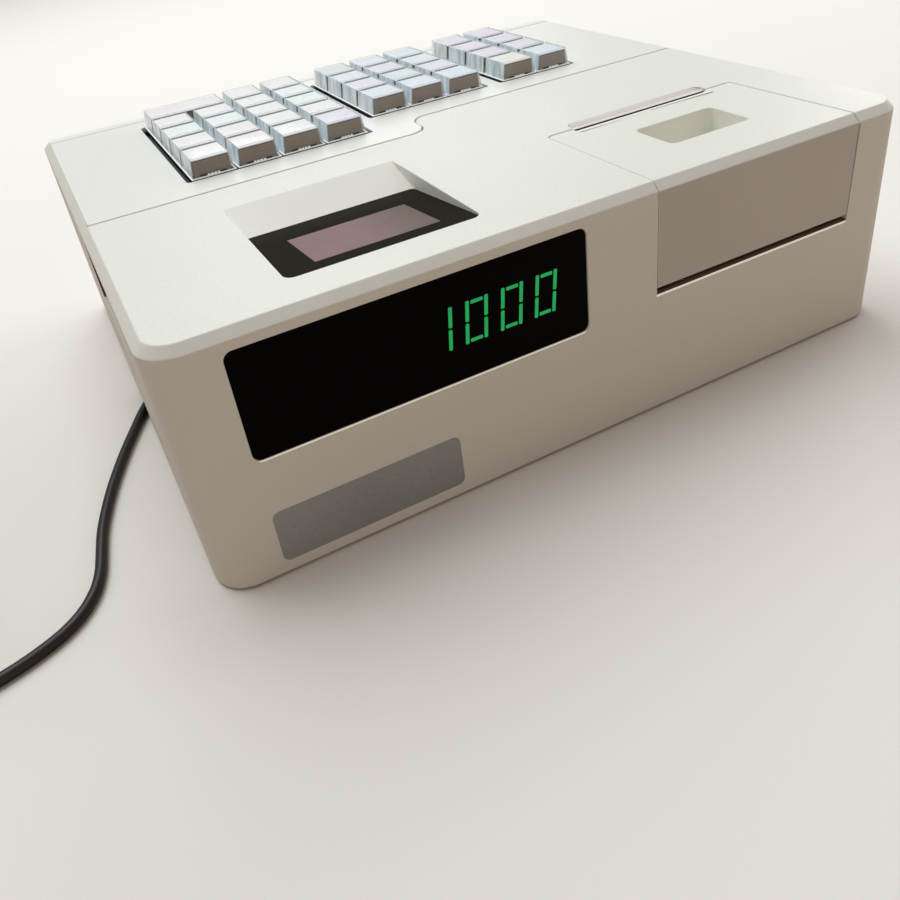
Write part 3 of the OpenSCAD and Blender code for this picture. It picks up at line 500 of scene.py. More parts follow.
def paper_scoop(mesh):
    """The scoop behind the paper slot: its lip stands close to the slot, and its lower part is
    flatter. The cover seat's edge is cut where its shadow starts, and the display recess gets the
    rounder near corners it has at the top."""
    cut(mesh, spot(0, shadow_start, 0), (0, 1, 0),
        faces_within(mesh, (cover_left, -1, seat_low), (cover_right, 1.2, seat_high)))
    cut(mesh, spot(0, 70.2, 0), (0, 1, 0),
        [face for face in faces_within(mesh, (-1, 68, -1), (286, 73, 91))
         if 0.9 < face.normal.z < 0.95])
    # the node's slope rises 1.9 mm over 4.6 mm; this one starts nearer the slot and lies flatter
    node_lip_v, lip_v, lip_z, slope_end = 68.4, 67.4, 88.85, 71.8
    for corner in mesh.verts:
        u, v, z = measured(corner.co)
        if not slot_left < u < slot_right:
            continue
        if abs(v - node_lip_v) < 0.05 and 87.4 < z < 88.2:
            corner.co = spot(u, lip_v, lip_z if z > 87.8 else z)
        elif 68.5 < v < 73.05 and z > 87.9:
            on_slope = abs(z - 88.1 - (v - node_lip_v) * 1.9 / 4.6) < 0.03
            v = lip_v + (v - node_lip_v) * 4.4 / 4.6
            if on_slope:
                z = max(lip_z + (v - lip_v) * 0.05, top_z - (slope_end - v) * 1.05 / 2.68)
            corner.co = spot(u, v, z)

    recess_rear, recess_sides = 18, (47, 113.5)

    def at_near_corner(point):
        """Whether a point lies on an upright edge of the display recess at the top."""
        u, v, z = measured(point)
        return (abs(v - recess_rear) < 0.05 and z > 89.5
                and min(abs(u - side) for side in recess_sides) < 0.05)

    uprights = [edge for edge in mesh.edges
                if all(at_near_corner(corner.co) for corner in edge.verts)
                and abs(edge.verts[0].co.x - edge.verts[1].co.x) < 1e-5]
    rounded(mesh, uprights, 3.4, 6)


def case_part(u, v, z):
    """Grained top, the slot wall painted black as shade, the inside of the side recess and the
    cover's seat painted dark brown as shade, the seats' lower edges painted pale with a faint glow
    as a glint, the scoop's slope painted darker as shade, or the smooth faces."""
    grained, smooth, slot_shade, dark_shade, edge_glint, slope_shade = range(6)
    under_cover = cover_left < u < cover_right
    on_seat_edge = under_cover and seat_low < z < seat_high
    if z > 89.95:
        return grained
    # painted shade: the slot's wall takes the black moulding finish, for the shade in the slot
    if slot_left < u < slot_right and abs(v - 67.4) < 0.1 and z < 88.7:
        return slot_shade
    if 0.02 < u < 7.3 and 50.5 < v < 111.5 and 62.4 < z < 85.5:
        return dark_shade
    if 0.02 < v < shadow_start and (on_seat_edge or 20 < u < 141 and 44.8 < z < 45.75):
        return edge_glint
    if shadow_start < v < 2 and on_seat_edge:
        return dark_shade
    if slot_left < u < slot_right and 69.2 < v < 72 and 88.8 < z:
        return slope_shade
    return dark_shade if under_cover and v < 6 and abs(z - 49.34) < 0.1 else smooth


case_finish = surfaced(
    "grained_case", (232, 235, 229), (222, 225, 218), (0.42, 0.52), grain=1300, depth=0.07,
    fleck=0.8, drift=14, specular=0.4)
smooth_case = surfaced(
    "smooth_case", (233, 235, 229), (226, 228, 221), (0.42, 0.5), grain=2200, depth=0.008,
    fleck=0.1, drift=14, specular=0.35)
# painted shade: a dark brown for the inside of the side recess and the cover's seat, where shade
# falls on the off-white moulding
painted_recess_shade = surfaced(
    "painted_recess_shade", (92, 76, 64), (80, 66, 56), (0.5, 0.6), grain=2200, depth=0.02, drift=50)
# painted highlight: the seats' lower edges are paler and glow faintly, standing in for the glint of
# the light they catch
painted_edge_glint = surfaced(
    "painted_edge_glint", (255, 252, 240), (250, 246, 232), (0.35, 0.45), grain=2200, depth=0.008, drift=14,
    also={"Emission Color": colour(255, 243, 230), "Emission Strength": 0.35})
# painted shade: the upper part of the scoop's slope is a darker copy of the smooth case
painted_scoop_shade = surfaced(
    "painted_scoop_shade", (218, 214, 208), (210, 206, 200), (0.42, 0.5), grain=2200, depth=0.008, drift=14)
case_shell = softened(
    "upper_case", "case_shell",
    [case_finish, smooth_case, black_plastic, painted_recess_shade, painted_edge_glint, painted_scoop_shade], 0.35,
    finish_of=case_part, worked_on=paper_scoop,
    cuts=((0, 83.3), (0, 215), (1, 81), (1, 175)))

# the blank rating label: a silvered polyester sheet low on the rear face, its corners rounded
silver_label = surfaced(
    "silvered_label", (172, 178, 184), (157, 163, 170), (0.34, 0.42), grain=900, depth=0.004,
    fleck=0.5, drift=60, also={"Metallic": 0.3})
label = bmesh.new()
block(label, (21.1, -0.08, 5.3), (86.9, 0.02, 25.5))
uprights = [edge for edge in label.edges
            if abs((edge.verts[0].co - edge.verts[1].co).normalized().y) > 0.99]
rounded(label, uprights, 2.6, 6)
rating_label = made_piece(label, "bare_rating_label", [silver_label])


# ---- Base: the tray that closes the case from below, with its six screws and the four rubber feet
# that are pressed into its seats.
base_finish = surfaced(
    "base_plastic", (226, 224, 218), (214, 211, 204), (0.45, 0.56), grain=1300, depth=0.06,
    fleck=0.5, drift=14, specular=0.4)
base_tray = softened("bottom_cover", "base_tray", [base_finish], 0.25)
base_screws = softened("case_screws", "base_screws", [plated], 0)

foot_rubber = surfaced(
    "foot_rubber", (44, 44, 45), (34, 34, 35), (0.6, 0.75), grain=2600, depth=0.05, drift=50)
feet = bmesh.new()
foot_profile = [(2.15, 0), (2.15, 7.9), (1.1, 7.95), (0.5, 7.8), (0.1, 7.4), (0, 6.9), (0, 5.6),
                (0.35, 5.3), (0.35, 4.5), (0, 4.2), (0, 3), (0.35, 2.7), (0.35, 1.9), (0, 1.6),
                (0, 0)]
for foot_place in (spot(24, 38, 0), spot(24, 221, 0), spot(261, 38, 0), spot(261, 221, 0)):
    turned(feet, foot_profile, foot_place, (0, 0, 1), 40)
grip_feet = made_piece(feet, "grip_feet", [foot_rubber])
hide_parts("rubber_feet")


# ---- Keyboard plate: a flat satin moulding let into the top, with a cut-out for each block of
# keys. The switches and their board lie under it.
plate_finish = surfaced(
    "satin_plate", (239, 243, 239), (232, 236, 231), (0.3, 0.36), grain=700, depth=0.012, drift=10)


def plate_fit(mesh):
    """The plate's fit: wider seams along its stepped rear edge and its front, a close one on the
    left."""
    rear_seam, front_seam, left_closing = 0.0009, 0.0005, 0.00025
    for corner in mesh.verts:
        u, v, z = measured(corner.co)
        if v < 118.2 or u > 140.9 and v < 129.6:
            corner.co.y -= rear_seam
        if u < 3.4:
            corner.co.x += left_closing
        if v > 235.4:
            corner.co.y += front_seam


keyboard_plate = softened(
    "keyboard_plate", "key_plate", [plate_finish], 0.3, worked_on=plate_fit,
    cuts=((0, 83.3), (0, 160), (0, 217.6)), above=88)

board_mask = surfaced(
    "dark_solder_mask", (72, 76, 74), (58, 62, 60), (0.4, 0.6), grain=3000, depth=0.02, drift=70)
switch_black = surfaced(
    "switch_housing", (62, 64, 64), (50, 52, 52), (0.45, 0.55), grain=2500, depth=0.03, drift=60)
board_top_z = 73.65
key_switches = softened(
    "key_switch_board", "key_switches", [board_mask, switch_black], 0,
    finish_of=lambda u, v, z: 1 if z > board_top_z else 0)

# painted shade: a grey frame under the plate closes the gap round each block and stands for the
# gap's shaded floor: left side, rear, right side
gap_shade_grey = surfaced(
    "gap_shade_grey", (122, 124, 122), (108, 110, 108), (0.5, 0.6), grain=2200, depth=0.03, drift=50)
keys_front = 222.1
frames = bmesh.new()
for left, rear, right in ((45.7, 127.9, 120.85), (131.9, 146.95, 188), (199.05, 146.95, 236.1)):
    for u0, u1, v0, v1 in ((left - 3, left + 1, rear - 2.2, keys_front + 2.2),
                           (right - 1, right + 3, rear - 2.2, keys_front + 2.2),
                           (left + 1, right - 1, rear - 2.2, rear + 1),
                           (left + 1, right - 1, keys_front - 1, keys_front + 2.2)):
        block(frames, (u0, v0, 84.2), (u1, v1, 85))
gap_shade_frames = made_piece(frames, "gap_shade_frames", [gap_shade_grey])


# ---- Keys: 39 key tops, each a body on its stem, painted brown-grey as shade, with a bare paper
# insert on it, under a clear acrylic cap that flares to a ledge at its foot and clips on in the
# middle of its rear and front.
def overlaid(finish, amount, output, tint):
    """Mix a further tone into a worked surface, by the amount a node puts out. Gives the mix."""
    tree = finish.node_tree
    mix = add_node(tree, "Mix", {"B": colour(*tint)}, data_type="RGBA")
    link(tree, (amount, output, mix, "Factor"), (tree.nodes["Group"], "Color", mix, "A"),
         (mix, "Result", tree.nodes["Principled BSDF"], "Base Color"))
    return mix


# painted shade: the body's brown-grey is darker than its pale plastic, to carry the shade on its
# faces
shaded_key_body = surfaced(
    "shaded_key_body", (160, 149, 138), (142, 130, 118), (0.35, 0.5), grain=2400, depth=0.03, fleck=0.6,
    drift=60)
# painted shadow: a near-black finish for the blocks that stand for the shade under the body, under
# the insert and in the gap below the ledge
key_shadow = surfaced(
    "key_painted_shadow", (40, 40, 40), (28, 28, 28), (0.5, 0.6), grain=2400, depth=0.02, drift=60)
# painted highlight: the cap's ledge and clips are near white and glow faintly, standing in for the
# light they catch
cap_ledge_glint = surfaced(
    "cap_ledge_glint", (250, 252, 253), (236, 243, 247), (0.15, 0.25), grain=1200, depth=0.01, drift=90,
    also={"Emission Color": colour(236, 245, 250), "Emission Strength": 0.25})
# painted highlight: the cap's rounded edges are a near-opaque pale blue-white, standing in for the
# light that glints along clear acrylic seen edge on
cap_edge_glint = surfaced(
    "cap_edge_glint", (242, 248, 251), (206, 224, 236), (0.1, 0.2), grain=1200, depth=0.01, fleck=0.5,
    drift=120, also={"Alpha": 0.7})
# painted light: the clear side walls glow faintly in upright streaks, standing in for the light
# that runs down inside them
cap_flank_light = surfaced(
    "cap_flank_light", (255, 255, 255), (206, 224, 232), (0.06, 0.14), grain=700, depth=0.006, fleck=0.3,
    drift=90, also={"Alpha": 0.75, "Emission Strength": 0.2})
tree = cap_flank_light.node_tree
where = add_node(tree, "TexCoord")
upright = add_node(tree, "Mapping", {"Scale": (320, 320, 70)})
streaks = add_node(tree, "TexNoise", {"Scale": 1, "Detail": 2})
band = add_node(tree, "MapRange", {"From Min": 0.35, "From Max": 0.7})
streaked = overlaid(cap_flank_light, band, "Result", (174, 195, 204))
link(tree, (where, "Object", upright, "Vector"), (upright, "Vector", streaks, "Vector"),
     (streaks, "Fac", band, "Value"),
     (streaked, "Result", tree.nodes["Principled BSDF"], "Emission Color"))
# the clear skin covers what lies behind it only where it is seen edge on
clear_cap = surfaced(
    "clear_cap", (238, 245, 248), (224, 236, 242), (0.04, 0.09), grain=400, depth=0.004, drift=90)
tree = clear_cap.node_tree
edge_on = add_node(tree, "LayerWeight", {"Blend": 0.25})
covering = add_node(tree, "MapRange", {"To Min": 0.0, "To Max": 0.4})
link(tree, (edge_on, "Facing", covering, "Value"),
     (covering, "Result", tree.nodes["Principled BSDF"], "Alpha"))

# the inserts' paper: white, cyan, pink, blue, violet, green, lilac and yellow
tints = {name: surfaced("insert_" + name, tone, deeper, (0.4, 0.5), grain=900, depth=0.004,
                        fleck=0.4, drift=120)
         for name, tone, deeper in (
             ("w", (248, 248, 246), (240, 241, 241)), ("c", (241, 251, 250), (232, 245, 245)),
             ("p", (250, 244, 246), (241, 235, 238)), ("b", (230, 239, 247), (218, 229, 240)),
             ("v", (232, 232, 243), (221, 222, 236)), ("g", (225, 235, 235), (213, 225, 226)),
             ("l", (236, 229, 241), (226, 218, 233)), ("y", (244, 244, 238), (236, 236, 228)))}


def tapered(mesh, middle, foot, top, low, high, finish=0, rounding=0, edge_finish=None,
            open_foot=False):
    """A four-sided block from a foot to a smaller top, both (across, deep), about middle (u, v)."""
    before = set(mesh.faces)
    made = bmesh.ops.create_cube(mesh, size=1)
    for corner in made["verts"]:
        side = top if corner.co.z > 0 else foot
        height = high if corner.co.z > 0 else low
        corner.co = spot(middle[0] - corner.co.x * side[0], middle[1] - corner.co.y * side[1],
                         height)
    faces = once(face for corner in made["verts"] for face in corner.link_faces)
    for face in faces:
        face.material_index = finish
    if open_foot:
        foot_face = min(faces, key=lambda face: face.calc_center_median().z)
        bmesh.ops.delete(mesh, geom=[foot_face], context="FACES_ONLY")
        faces = [face for face in faces if face.is_valid]
    if rounding:
        edges = [edge for edge in once(edge for face in faces for edge in face.edges)
                 if len(edge.link_faces) == 2]
        for face in rounded(mesh, edges, rounding, 2):
            face.material_index = finish if edge_finish is None else edge_finish
    return [face for face in mesh.faces if face not in before]


key_pitch, key_foot = 19.05, 18
stem_half = 2.8
ledge_wide, wall = 0.2, 0.8


def key_top(name, rear_u, rear_v, units, tint):
    """One key with its rear left corner at (u, v), units wide."""
    body, insert, clear, edge, ledge, shadow, flank = range(7)
    wide = key_foot + (units - 1) * key_pitch
    middle = u, v = rear_u + wide / 2, rear_v + key_foot / 2
    key = bmesh.new()
    block(key, (u - stem_half, v - stem_half, 77.7), (u + stem_half, v + stem_half, top_z), 0.3,
          1, body)
    # the shadow under the body, the body, the shadow under the insert, and the insert
    for foot, top, low, high, finish, rounding in (
            ((wide * 0.6, 16.35), (wide * 0.6, 16.35), 89.8, 90.9, shadow, 0),
            ((wide - 2.9, 16.2), (wide - 3.2, 16), 90, 96.5, body, 0.3),
            ((wide - 3.5, 15.6), (wide - 3.5, 15.6), 96.45, 96.8, shadow, 0),
            ((wide - 3.1, 16.2), (wide - 3.1, 16.2), 96.75, 97.25, insert, 0.12)):
        tapered(key, middle, foot, top, low, high, finish, rounding)
    # the clear cap: an outer and an inner skin, with the ledge at its foot between them
    outer = tapered(key, middle, (wide - 0.4, 17.1), (wide - 2.6, 17), 90, 98, clear, 0.3, edge,
                    True)
    for face in outer:
        face.normal_update()
        if abs(face.normal.x) > 0.9 and face.material_index == clear:
            face.material_index = flank
    inner = tapered(key, middle, (wide - 1.8, 16.6), (wide - 3, 16.4), 89.9, 97.4, clear,
                    open_foot=True)
    bmesh.ops.reverse_faces(key, faces=inner)
    u0, u1 = u - wide / 2 - ledge_wide, u + wide / 2 + ledge_wide
    v0, v1 = v - key_foot / 2 - ledge_wide, v + key_foot / 2 + ledge_wide
    # painted shadow: a dark ring under the ledge stands for the shade in the gap round the key
    for inset, foot, top, finish in ((0.1, 88.2, 89.9, shadow), (0, 89.85, 90.3, ledge)):
        a, b, c, d = u0 + inset, u1 - inset, v0 + inset, v1 - inset
        for low, high in (((a, c, foot), (b, v0 + wall, top)), ((a, v1 - wall, foot), (b, d, top)),
                          ((a, v0 + wall, foot), (u0 + 0.9, v1 - wall, top)),
                          ((u1 - 0.9, v0 + wall, foot), (b, v1 - wall, top))):
            block(key, low, high, 0.12, 1, finish)
    # a ribbed clip on the rear and the front, in the ledge's painted highlight
    for clip_v in (v0 + 0.2, v1 - 0.55):
        for rib in range(4):
            clip_u = u - 2.6 + rib * 1.35
            block(key, (clip_u, clip_v, 90.2), (clip_u + 1.05, clip_v + 0.35, 90.95), 0.1, 1,
                  ledge)
    piece = made_piece(key, name + "_top", [shaded_key_body, tints[tint], clear_cap, cap_edge_glint, cap_ledge_glint,
                                            key_shadow, cap_flank_light], name)
    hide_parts(name)


key_top("key_1_a_wide", 45.7, keys_front - key_foot, 2, "p")
# each block's rows of tints, from the operator's side; a space is left for the wide key
for block_number, first_u, rows in ((1, 45.7, ("  ww", "wwwc", "ccwc", "wpww", "wpwv")),
                                    (2, 131.9, ("gbb", "bvb", "vgv", "bbb")),
                                    (3, 199.05, ("ll", "ll", "ll", "yb"))):
    for row, row_tints in enumerate(rows):
        for column, tint in enumerate(row_tints):
            if tint != " ":
                key_top(f"key_{block_number}_{'abcde'[row]}{column + 1}",
                        first_u + column * key_pitch, keys_front - key_foot - row * key_pitch, 1,
                        tint)


# ---- Customer display: four green digits that show through a pane of black acrylic let into the
# rear face, their board behind it, and the main board in the case.
black_window = surfaced(
    "black_acrylic", (3, 3, 3), (1, 1, 2), (0.03, 0.1), grain=300, depth=0.0005, drift=26,
    specular=0.5, also={"IOR": 1.12})


def set_in(mesh):
    """The pane's face stands a little behind the rear face, so that the seat's lower edge shows."""
    bmesh.ops.translate(mesh, verts=[corner for corner in mesh.verts if corner.co.y > 0.1224],
                        vec=(0, -0.0005, 0))


customer_window = softened(
    "customer_window", "customer_pane", [black_window], 0.2, worked_on=set_in)

lit_green = surfaced(
    "lit_segment", (10, 90, 50), (6, 70, 40), (0.4, 0.5), drift=220,
    also={"Emission Strength": 0.8})
tree = lit_green.node_tree
where = add_node(tree, "TexCoord")
glow = add_node(tree, "TexNoise", {"Scale": 300})
lamp_tint = add_node(tree, "Mix", {"A": colour(16, 176, 92), "B": colour(6, 150, 74)},
                     data_type="RGBA")
link(tree, (where, "Object", glow, "Vector"), (glow, "Fac", lamp_tint, "Factor"),
     (lamp_tint, "Result", tree.nodes["Principled BSDF"], "Emission Color"))
digit_middle_z, digit_slant, digit_wide = 65.7, 0.1, 6.75
digit_v = 0.4
upright_thick, level_thick = 1.25, 1.2


def lit_bar(mesh, first, last, thick):
    """A digit's bar between two (u, z) ends, with chamfered tips, just proud of the pane."""
    a, b = [Vector((u + digit_slant * (z - digit_middle_z), z)) for u, z in (first, last)]
    along = (b - a).normalized()
    across = Vector((-along.y, along.x)) * thick / 2
    tip = along * thick * 0.2
    outline = [a - across * 0.6, a + across * 0.6, a + tip + across, b - tip + across,
               b + across * 0.6, b - across * 0.6, b - tip - across, a + tip - across]
    face = mesh.faces.new([mesh.verts.new(spot(p.x, digit_v, p.y)) for p in outline])
    face.normal_update()
    if face.normal.y < 0:
        bmesh.ops.reverse_faces(mesh, faces=[face])
    solid = bmesh.ops.extrude_face_region(mesh, geom=[face], use_keep_orig=True)
    pushed = [corner for corner in solid["geom"] if isinstance(corner, bmesh.types.BMVert)]
    bmesh.ops.translate(mesh, verts=pushed, vec=(0, -0.0001, 0))
    bmesh.ops.recalc_face_normals(mesh, faces=mesh.faces)


digits = bmesh.new()
for right_u, is_zero in ((89.2, False), (101.9, True), (114.7, True), (127.45, True)):
    left_u = right_u - digit_wide
    for u in (right_u, left_u) if is_zero else (right_u,):
        lit_bar(digits, (u, 57.9), (u, 65), upright_thick)
        lit_bar(digits, (u, 65.7), (u, 72.8), upright_thick)
    if is_zero:
        for z in (58.75, 72):
            lit_bar(digits, (left_u + 1.2, z), (right_u - 1.2, z), level_thick)
lit_digits = made_piece(digits, "lit_digits", [lit_green])

board_green = surfaced(
    "green_solder_mask", (30, 92, 60), (22, 76, 48), (0.25, 0.45), grain=2600, depth=0.02, drift=80)
chip_black = surfaced(
    "chip_resin", (34, 34, 36), (26, 26, 28), (0.5, 0.65), grain=3000, depth=0.02, drift=80)
display_board = softened(
    "customer_display", "display_board", [board_green, chip_black], 0,
    finish_of=lambda u, v, z: 1 if v < 7.95 else 0)
main_board = softened(
    "main_board", "control_board", [board_green, chip_black], 0,
    finish_of=lambda u, v, z: 0 if 14.99 < z < 16.62 else 1)


# ---- Operator display: a clear pane on the slope of the recess, printed black behind round the
# mauve screen, whose board hangs under it.
# the print is real black; painted reflection lifts it to a dark grey with little gloss of its own
pane_print_and_reflection = surfaced(
    "print_and_painted_reflection", (46, 44, 39), (40, 38, 34), (0.02, 0.06), grain=300, depth=0.0005, drift=30,
    specular=0.04, also={"IOR": 1.06})
# the screen greys towards its right end
screen_mauve = surfaced(
    "seen_screen", (149, 129, 130), (138, 118, 120), (0.02, 0.05), grain=1800, depth=0.0005,
    fleck=0.5, drift=60, specular=0.1, also={"IOR": 1.06})
tree = screen_mauve.node_tree
where = add_node(tree, "TexCoord")
apart = add_node(tree, "SeparateXYZ")
fade = add_node(tree, "MapRange", {"From Min": 0.064, "From Max": 0.040, "To Max": 0.75})
overlaid(screen_mauve, fade, "Result", (104, 103, 92))
link(tree, (where, "Object", apart, "Vector"), (apart, "X", fade, "Value"))

pane = moulding("operator_window")
rims = [edge for edge in pane.edges if edge.calc_face_angle(0) > 1]
rounded(pane, rims, 0.15, 2)
screen_low, screen_high = (59.1, 26.3), (102.5, 55.05)
for u, v in (screen_low, screen_high):
    cut(pane, spot(u, 0, 0), (1, 0, 0))
    cut(pane, spot(0, v, 0), (0, 1, 0))
for face in faces_within(pane, (*screen_low, -1), (*screen_high, top_z)):
    face.material_index = 1 if face.normal.z > 0.9 else 0
operator_pane = made_piece(pane, "operator_pane", [pane_print_and_reflection, screen_mauve])
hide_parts("operator_window")
screen_board = softened(
    "operator_display", "screen_board", [board_green], 0)


# ---- Printer: a drop-in unit on the bay's deck. A black body carries the print head and the cutter
# bar, two plated side plates carry the platen's bushings, and a motor drives it on the left.
printer_black = surfaced(
    "printer_body", (52, 52, 54), (42, 42, 44), (0.4, 0.52), grain=1800, depth=0.04, drift=50)
ceramic = surfaced(
    "print_head_ceramic", (206, 202, 190), (188, 183, 168), (0.2, 0.3), grain=2600, depth=0.005,
    drift=120)
motor_tin = metal("motor_can", (176, 176, 172), 0.25, 0.4)
in_black, in_steel, in_ceramic, in_tin = range(4)
unit = moulding("printer_mechanism")
for face in unit.faces:
    across = measured(face.calc_center_median())[0]
    face.material_index = in_steel if across < 176.1 or across > 253.1 else in_black
# the head: a ceramic bar with its heater line and driver bead, held by two screws
block(unit, (185.6, 65.68, 75.4), (243.6, 66, 83.6), 0.05, 1, in_ceramic)
block(unit, (186.6, 65.64, 79.35), (242.6, 65.7, 79.65), 0, 1, in_black)
block(unit, (190, 65.5, 76), (239, 65.75, 77.2), 0.1, 2, in_black)
for across in (188.6, 240.6):
    turned(unit, [(0, 0), (0, 1.7), (0.5, 1.7), (0.9, 1.3), (0.9, 0)], spot(across, 78, 86),
           (0, 0, 1), 20, in_steel)
# the motor, its mounting ears and its cable
motor_end = spot(182.6, 50, 68.2)
turned(unit, [(0, 0), (0, 7), (0.5, 7.5), (8.6, 7.5), (9.1, 7), (9.1, 0)], motor_end, (1, 0, 0),
       40, in_tin)
turned(unit, [(9.1, 0), (9.1, 2), (9.9, 2), (9.9, 0)], motor_end, (1, 0, 0), 20, in_steel)
block(unit, (178.2, 40.5, 60), (179.2, 59.5, 61), 0.1, 1, in_steel)
block(unit, (176.4, 44, 60), (181, 56, 61.6), 0.3, 1, in_black)
# the paper sensor beside the well, and the two ribs that guide the paper to the head
block(unit, (249, 52, 60), (255, 60, 63.4), 0.4, 2, in_black)
block(unit, (251, 54.4, 63.3), (253, 57.6, 63.7), 0.2, 1, in_ceramic)
for across in (184.2, 244.2):
    block(unit, (across, 66, 60), (across + 0.8, 68, 71.4), 0.2, 1, in_black)
print_unit = made_piece(unit, "print_unit", [printer_black, plated, ceramic, motor_tin])
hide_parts("printer_mechanism")

cutter_steel = metal("cutter_steel", (214, 215, 216), 0.12, 0.3)


def bar_fit(mesh):
    """The bar lies up against the underside of the scoop's lip, so that its teeth show in the
    slot."""
    bmesh.ops.translate(mesh, verts=mesh.verts, vec=(0, 0.0005, 0.0008))


cutter = softened(
    "cutter_bar", "tear_bar", [cutter_steel], 0, worked_on=bar_fit)

platen_rubber = surfaced(
    "platen_rubber", (58, 58, 60), (48, 48, 50), (0.55, 0.68), grain=3200, depth=0.02, drift=60)
gear_nylon = surfaced(
    "gear_nylon", (226, 222, 208), (212, 207, 192), (0.35, 0.45), grain=2000, depth=0.01, drift=90)
platen_v, platen_z = 60.4, 79.5


def platen_part(u, v, z):
    """Rubber sleeve, steel shaft and bushings, or nylon gear, by the distance from the roller's
    end."""
    sleeve, shaft, gear = range(3)
    far = u - 169.4
    if 14.1 < far < 76.3:
        return sleeve
    return gear if 7.5 < far < 11.7 and math.hypot(v - platen_v, z - platen_z) > 1.7 else shaft


platen = softened(
    "platen_roller", "platen", [platen_rubber, plated, gear_nylon], 0, "platen",
    platen_part)

# the receipt roll: thermal paper on a card core, its end faces ringed by the turns of the paper
roll_paper, roll_ends = [
    surfaced(name, (244, 243, 238), (237, 236, 230), (0.4, 0.5), grain=1400, depth=0.004, drift=40)
    for name in ("receipt_paper", "roll_ends")]
tree = roll_ends.node_tree
where = add_node(tree, "TexCoord")
centred = add_node(tree, "Mapping", {"Location": -spot(0, 34, 34.3)})
turns = add_node(tree, "TexWave", {"Scale": 900, "Distortion": 1.5}, wave_type="RINGS",
                 rings_direction="X")
faint = add_node(tree, "Math", {1: 0.5}, operation="MULTIPLY")
overlaid(roll_ends, faint, 0, (214, 210, 200))
link(tree, (where, "Object", centred, "Vector"), (centred, "Vector", turns, "Vector"),
     (turns, "Fac", faint, 0))
core_card = surfaced(
    "core_card", (176, 152, 122), (160, 136, 106), (0.7, 0.8), grain=1500, depth=0.04, fleck=0.6,
    drift=90)
roll = bmesh.new()
roll_middle = spot(214.6, 34, 34.3)
turned(roll, [(-28.75, 7.3), (-28.75, 27.6), (-28.6, 27.95), (28.6, 27.95), (28.75, 27.6),
              (28.75, 7.3)], roll_middle, (1, 0, 0), 96, 0)
turned(roll, [(-28.7, 7.35), (-28.7, 6), (28.7, 6), (28.7, 7.35)], roll_middle, (1, 0, 0), 48, 1)
for face in roll.faces:
    if abs(face.normal.x) > 0.99:
        face.material_index = 2
receipt_roll = made_piece(roll, "receipt_roll", [roll_paper, core_card, roll_ends], "paper_roll")
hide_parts("paper_roll")

# the paper's run from the top of the roll, under the platen and up to the cutter bar
run = [(24.25, 60.6), (33.7, 64.1), (43.2, 67.6), (52.7, 71.2), (62.19, 74.67)]
for turn in (-52, -35, -17, 0):
    run.append((platen_v + 5.15 * math.cos(math.radians(turn)),
                platen_z + 5.15 * math.sin(math.radians(turn))))
run += [(65.58, 82), (65.9, 84.6), (66.5, 86.4)]
web = bmesh.new()
line = [web.verts.new(spot(185.85, v, z)) for v, z in run]
edges = [web.edges.new(pair) for pair in zip(line, line[1:])]
drawn_out = bmesh.ops.extrude_edge_only(web, edges=edges)
far_side = [corner for corner in drawn_out["geom"] if isinstance(corner, bmesh.types.BMVert)]
bmesh.ops.translate(web, verts=far_side, vec=(-0.0575, 0, 0))
bmesh.ops.recalc_face_normals(web, faces=web.faces)
bmesh.ops.solidify(web, geom=web.faces[:], thickness=0.00006)
paper_web = made_piece(web, "paper_web", [roll_paper], soft=60)


# ---- Paper cover: a hinged moulding over the printer that wraps over the rear edge, with a finger
# pocket, and the platen on its front edge.
cover_flat_v = 61.2


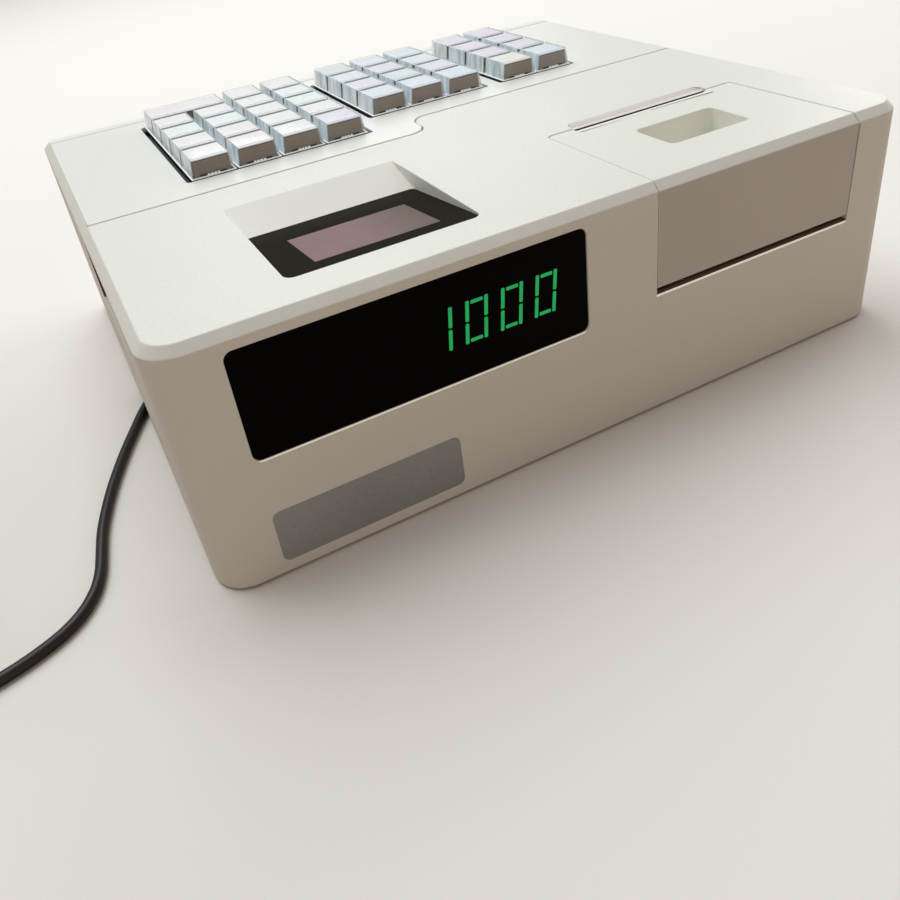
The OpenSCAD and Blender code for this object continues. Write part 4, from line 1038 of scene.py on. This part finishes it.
def cover_lip(mesh):
    """The cover's front edge slopes down to the paper slot between two short ramps, its seams are
    wider beside the slot and on the right, and its left seam closes up on the top."""
    for u in (180.3, 181.5, 245.7, 246.9):
        cut(mesh, spot(u, 0, 0), (1, 0, 0),
            [face for face in mesh.faces if face.calc_center_median().z > 0.0875
             and (face.normal.z > 0.99 or face.normal.y < -0.99)])
    cut(mesh, spot(0, cover_flat_v, 0), (0, 1, 0),
        [face for face in mesh.faces
         if face.normal.z > 0.99 and face.calc_center_median().z > 0.0899])
    left_closing, right_seam, foot_lift = 0.2, 0.3, 0.6
    lip_v, lip_z, ramp_foot_z = 65.45, 88.9, 88.7
    shoulder_v = 63.4
    for corner in mesh.verts:
        u, v, z = measured(corner.co)
        if u < 169.5 and v < 6:
            u -= left_closing
        if v < 0.6 and z < 52:
            z += foot_lift
        if z < 87.7:
            corner.co = spot(u, v, z)
            continue
        if v > 65.3 and 181.4 < u < 246.7:
            if z > 89.9 and u < 245.8:
                z = lip_z
            elif z > 89:
                z = ramp_foot_z
            if v > 66:
                v = lip_v
        elif v > shoulder_v:
            v = shoulder_v + (v - shoulder_v) * 0.8
        if z > 89.5 and u < 170.4 and v > 6:
            u -= left_closing
        if u > 259.3:
            u -= right_seam
        corner.co = spot(u, v, z)
    ramps = [face for face in faces_within(mesh, (-1, cover_flat_v, -1), (286, 99, 99))
             if face.normal.z > 0.3
             and not 182 < measured(face.calc_center_median())[0] < 245
             and min(corner.co.z for corner in face.verts) < 0.0893
             and max(corner.co.z for corner in face.verts) > 0.0899]
    bmesh.ops.triangulate(mesh, faces=ramps)


def cover_part(u, v, z):
    """Grained top, the rear face painted darker as shade, the inside of the pocket painted paler as
    light, or the smooth faces.
    """
    grained, smooth, rear_shade, pocket = range(4)
    if z > 89.95 and v < 61.3:
        return grained
    if 195.5 < u < 232.4 and 24.8 < v < 46.5 and 76.9 < z < 89.9:
        return pocket
    return rear_shade if v < 0.05 else smooth


# painted light: the inside of the finger pocket is a paler copy of the cover's plastic
painted_pocket_light = surfaced(
    "painted_pocket_light", (242, 243, 235), (234, 235, 226), (0.42, 0.5), grain=2200, depth=0.008,
    fleck=0.1, drift=14)
# painted shade: the cover's rear face is a darker copy of the case's plastic
painted_cover_shade = surfaced(
    "painted_cover_shade", (210, 210, 204), (200, 199, 193), (0.45, 0.52), grain=2200, depth=0.008,
    fleck=0.1, drift=14, specular=0.3)
paper_cover = softened(
    "paper_cover", "printer_cover", [case_finish, smooth_case, painted_cover_shade, painted_pocket_light], 0.35,
    "paper_cover", cover_part, cover_lip, ((0, 215), (1, 35), (1, 60.4)))


# ---- Power switch: a black rocker in the side recess, marked with a bar and a ring.
switch_gloss = surfaced(
    "switch_gloss", (24, 24, 25), (18, 18, 19), (0.2, 0.3), grain=1500, depth=0.006, drift=60)
rocker = softened("power_switch", "rocker", [switch_gloss], 0.25, "power_rocker")
mark_white = surfaced(
    "mark_white", (228, 228, 224), (214, 214, 210), (0.4, 0.5), grain=2600, depth=0.005, drift=120)
marks = bmesh.new()
block(marks, (6.28, 84.4, 73.2), (6.5, 87.4, 73.8), 0.05, 1)
turned(marks, [(-0.1, 1.15), (0.06, 1.15), (0.1, 1.2), (0.1, 1.6), (0.06, 1.65), (-0.1, 1.65),
               (-0.1, 1.15)], spot(5.425, 77.5, 73.5), (0.964, -0.267, 0), 32)
rocker_marks = made_piece(marks, "rocker_marks", [mark_white], "power_rocker")
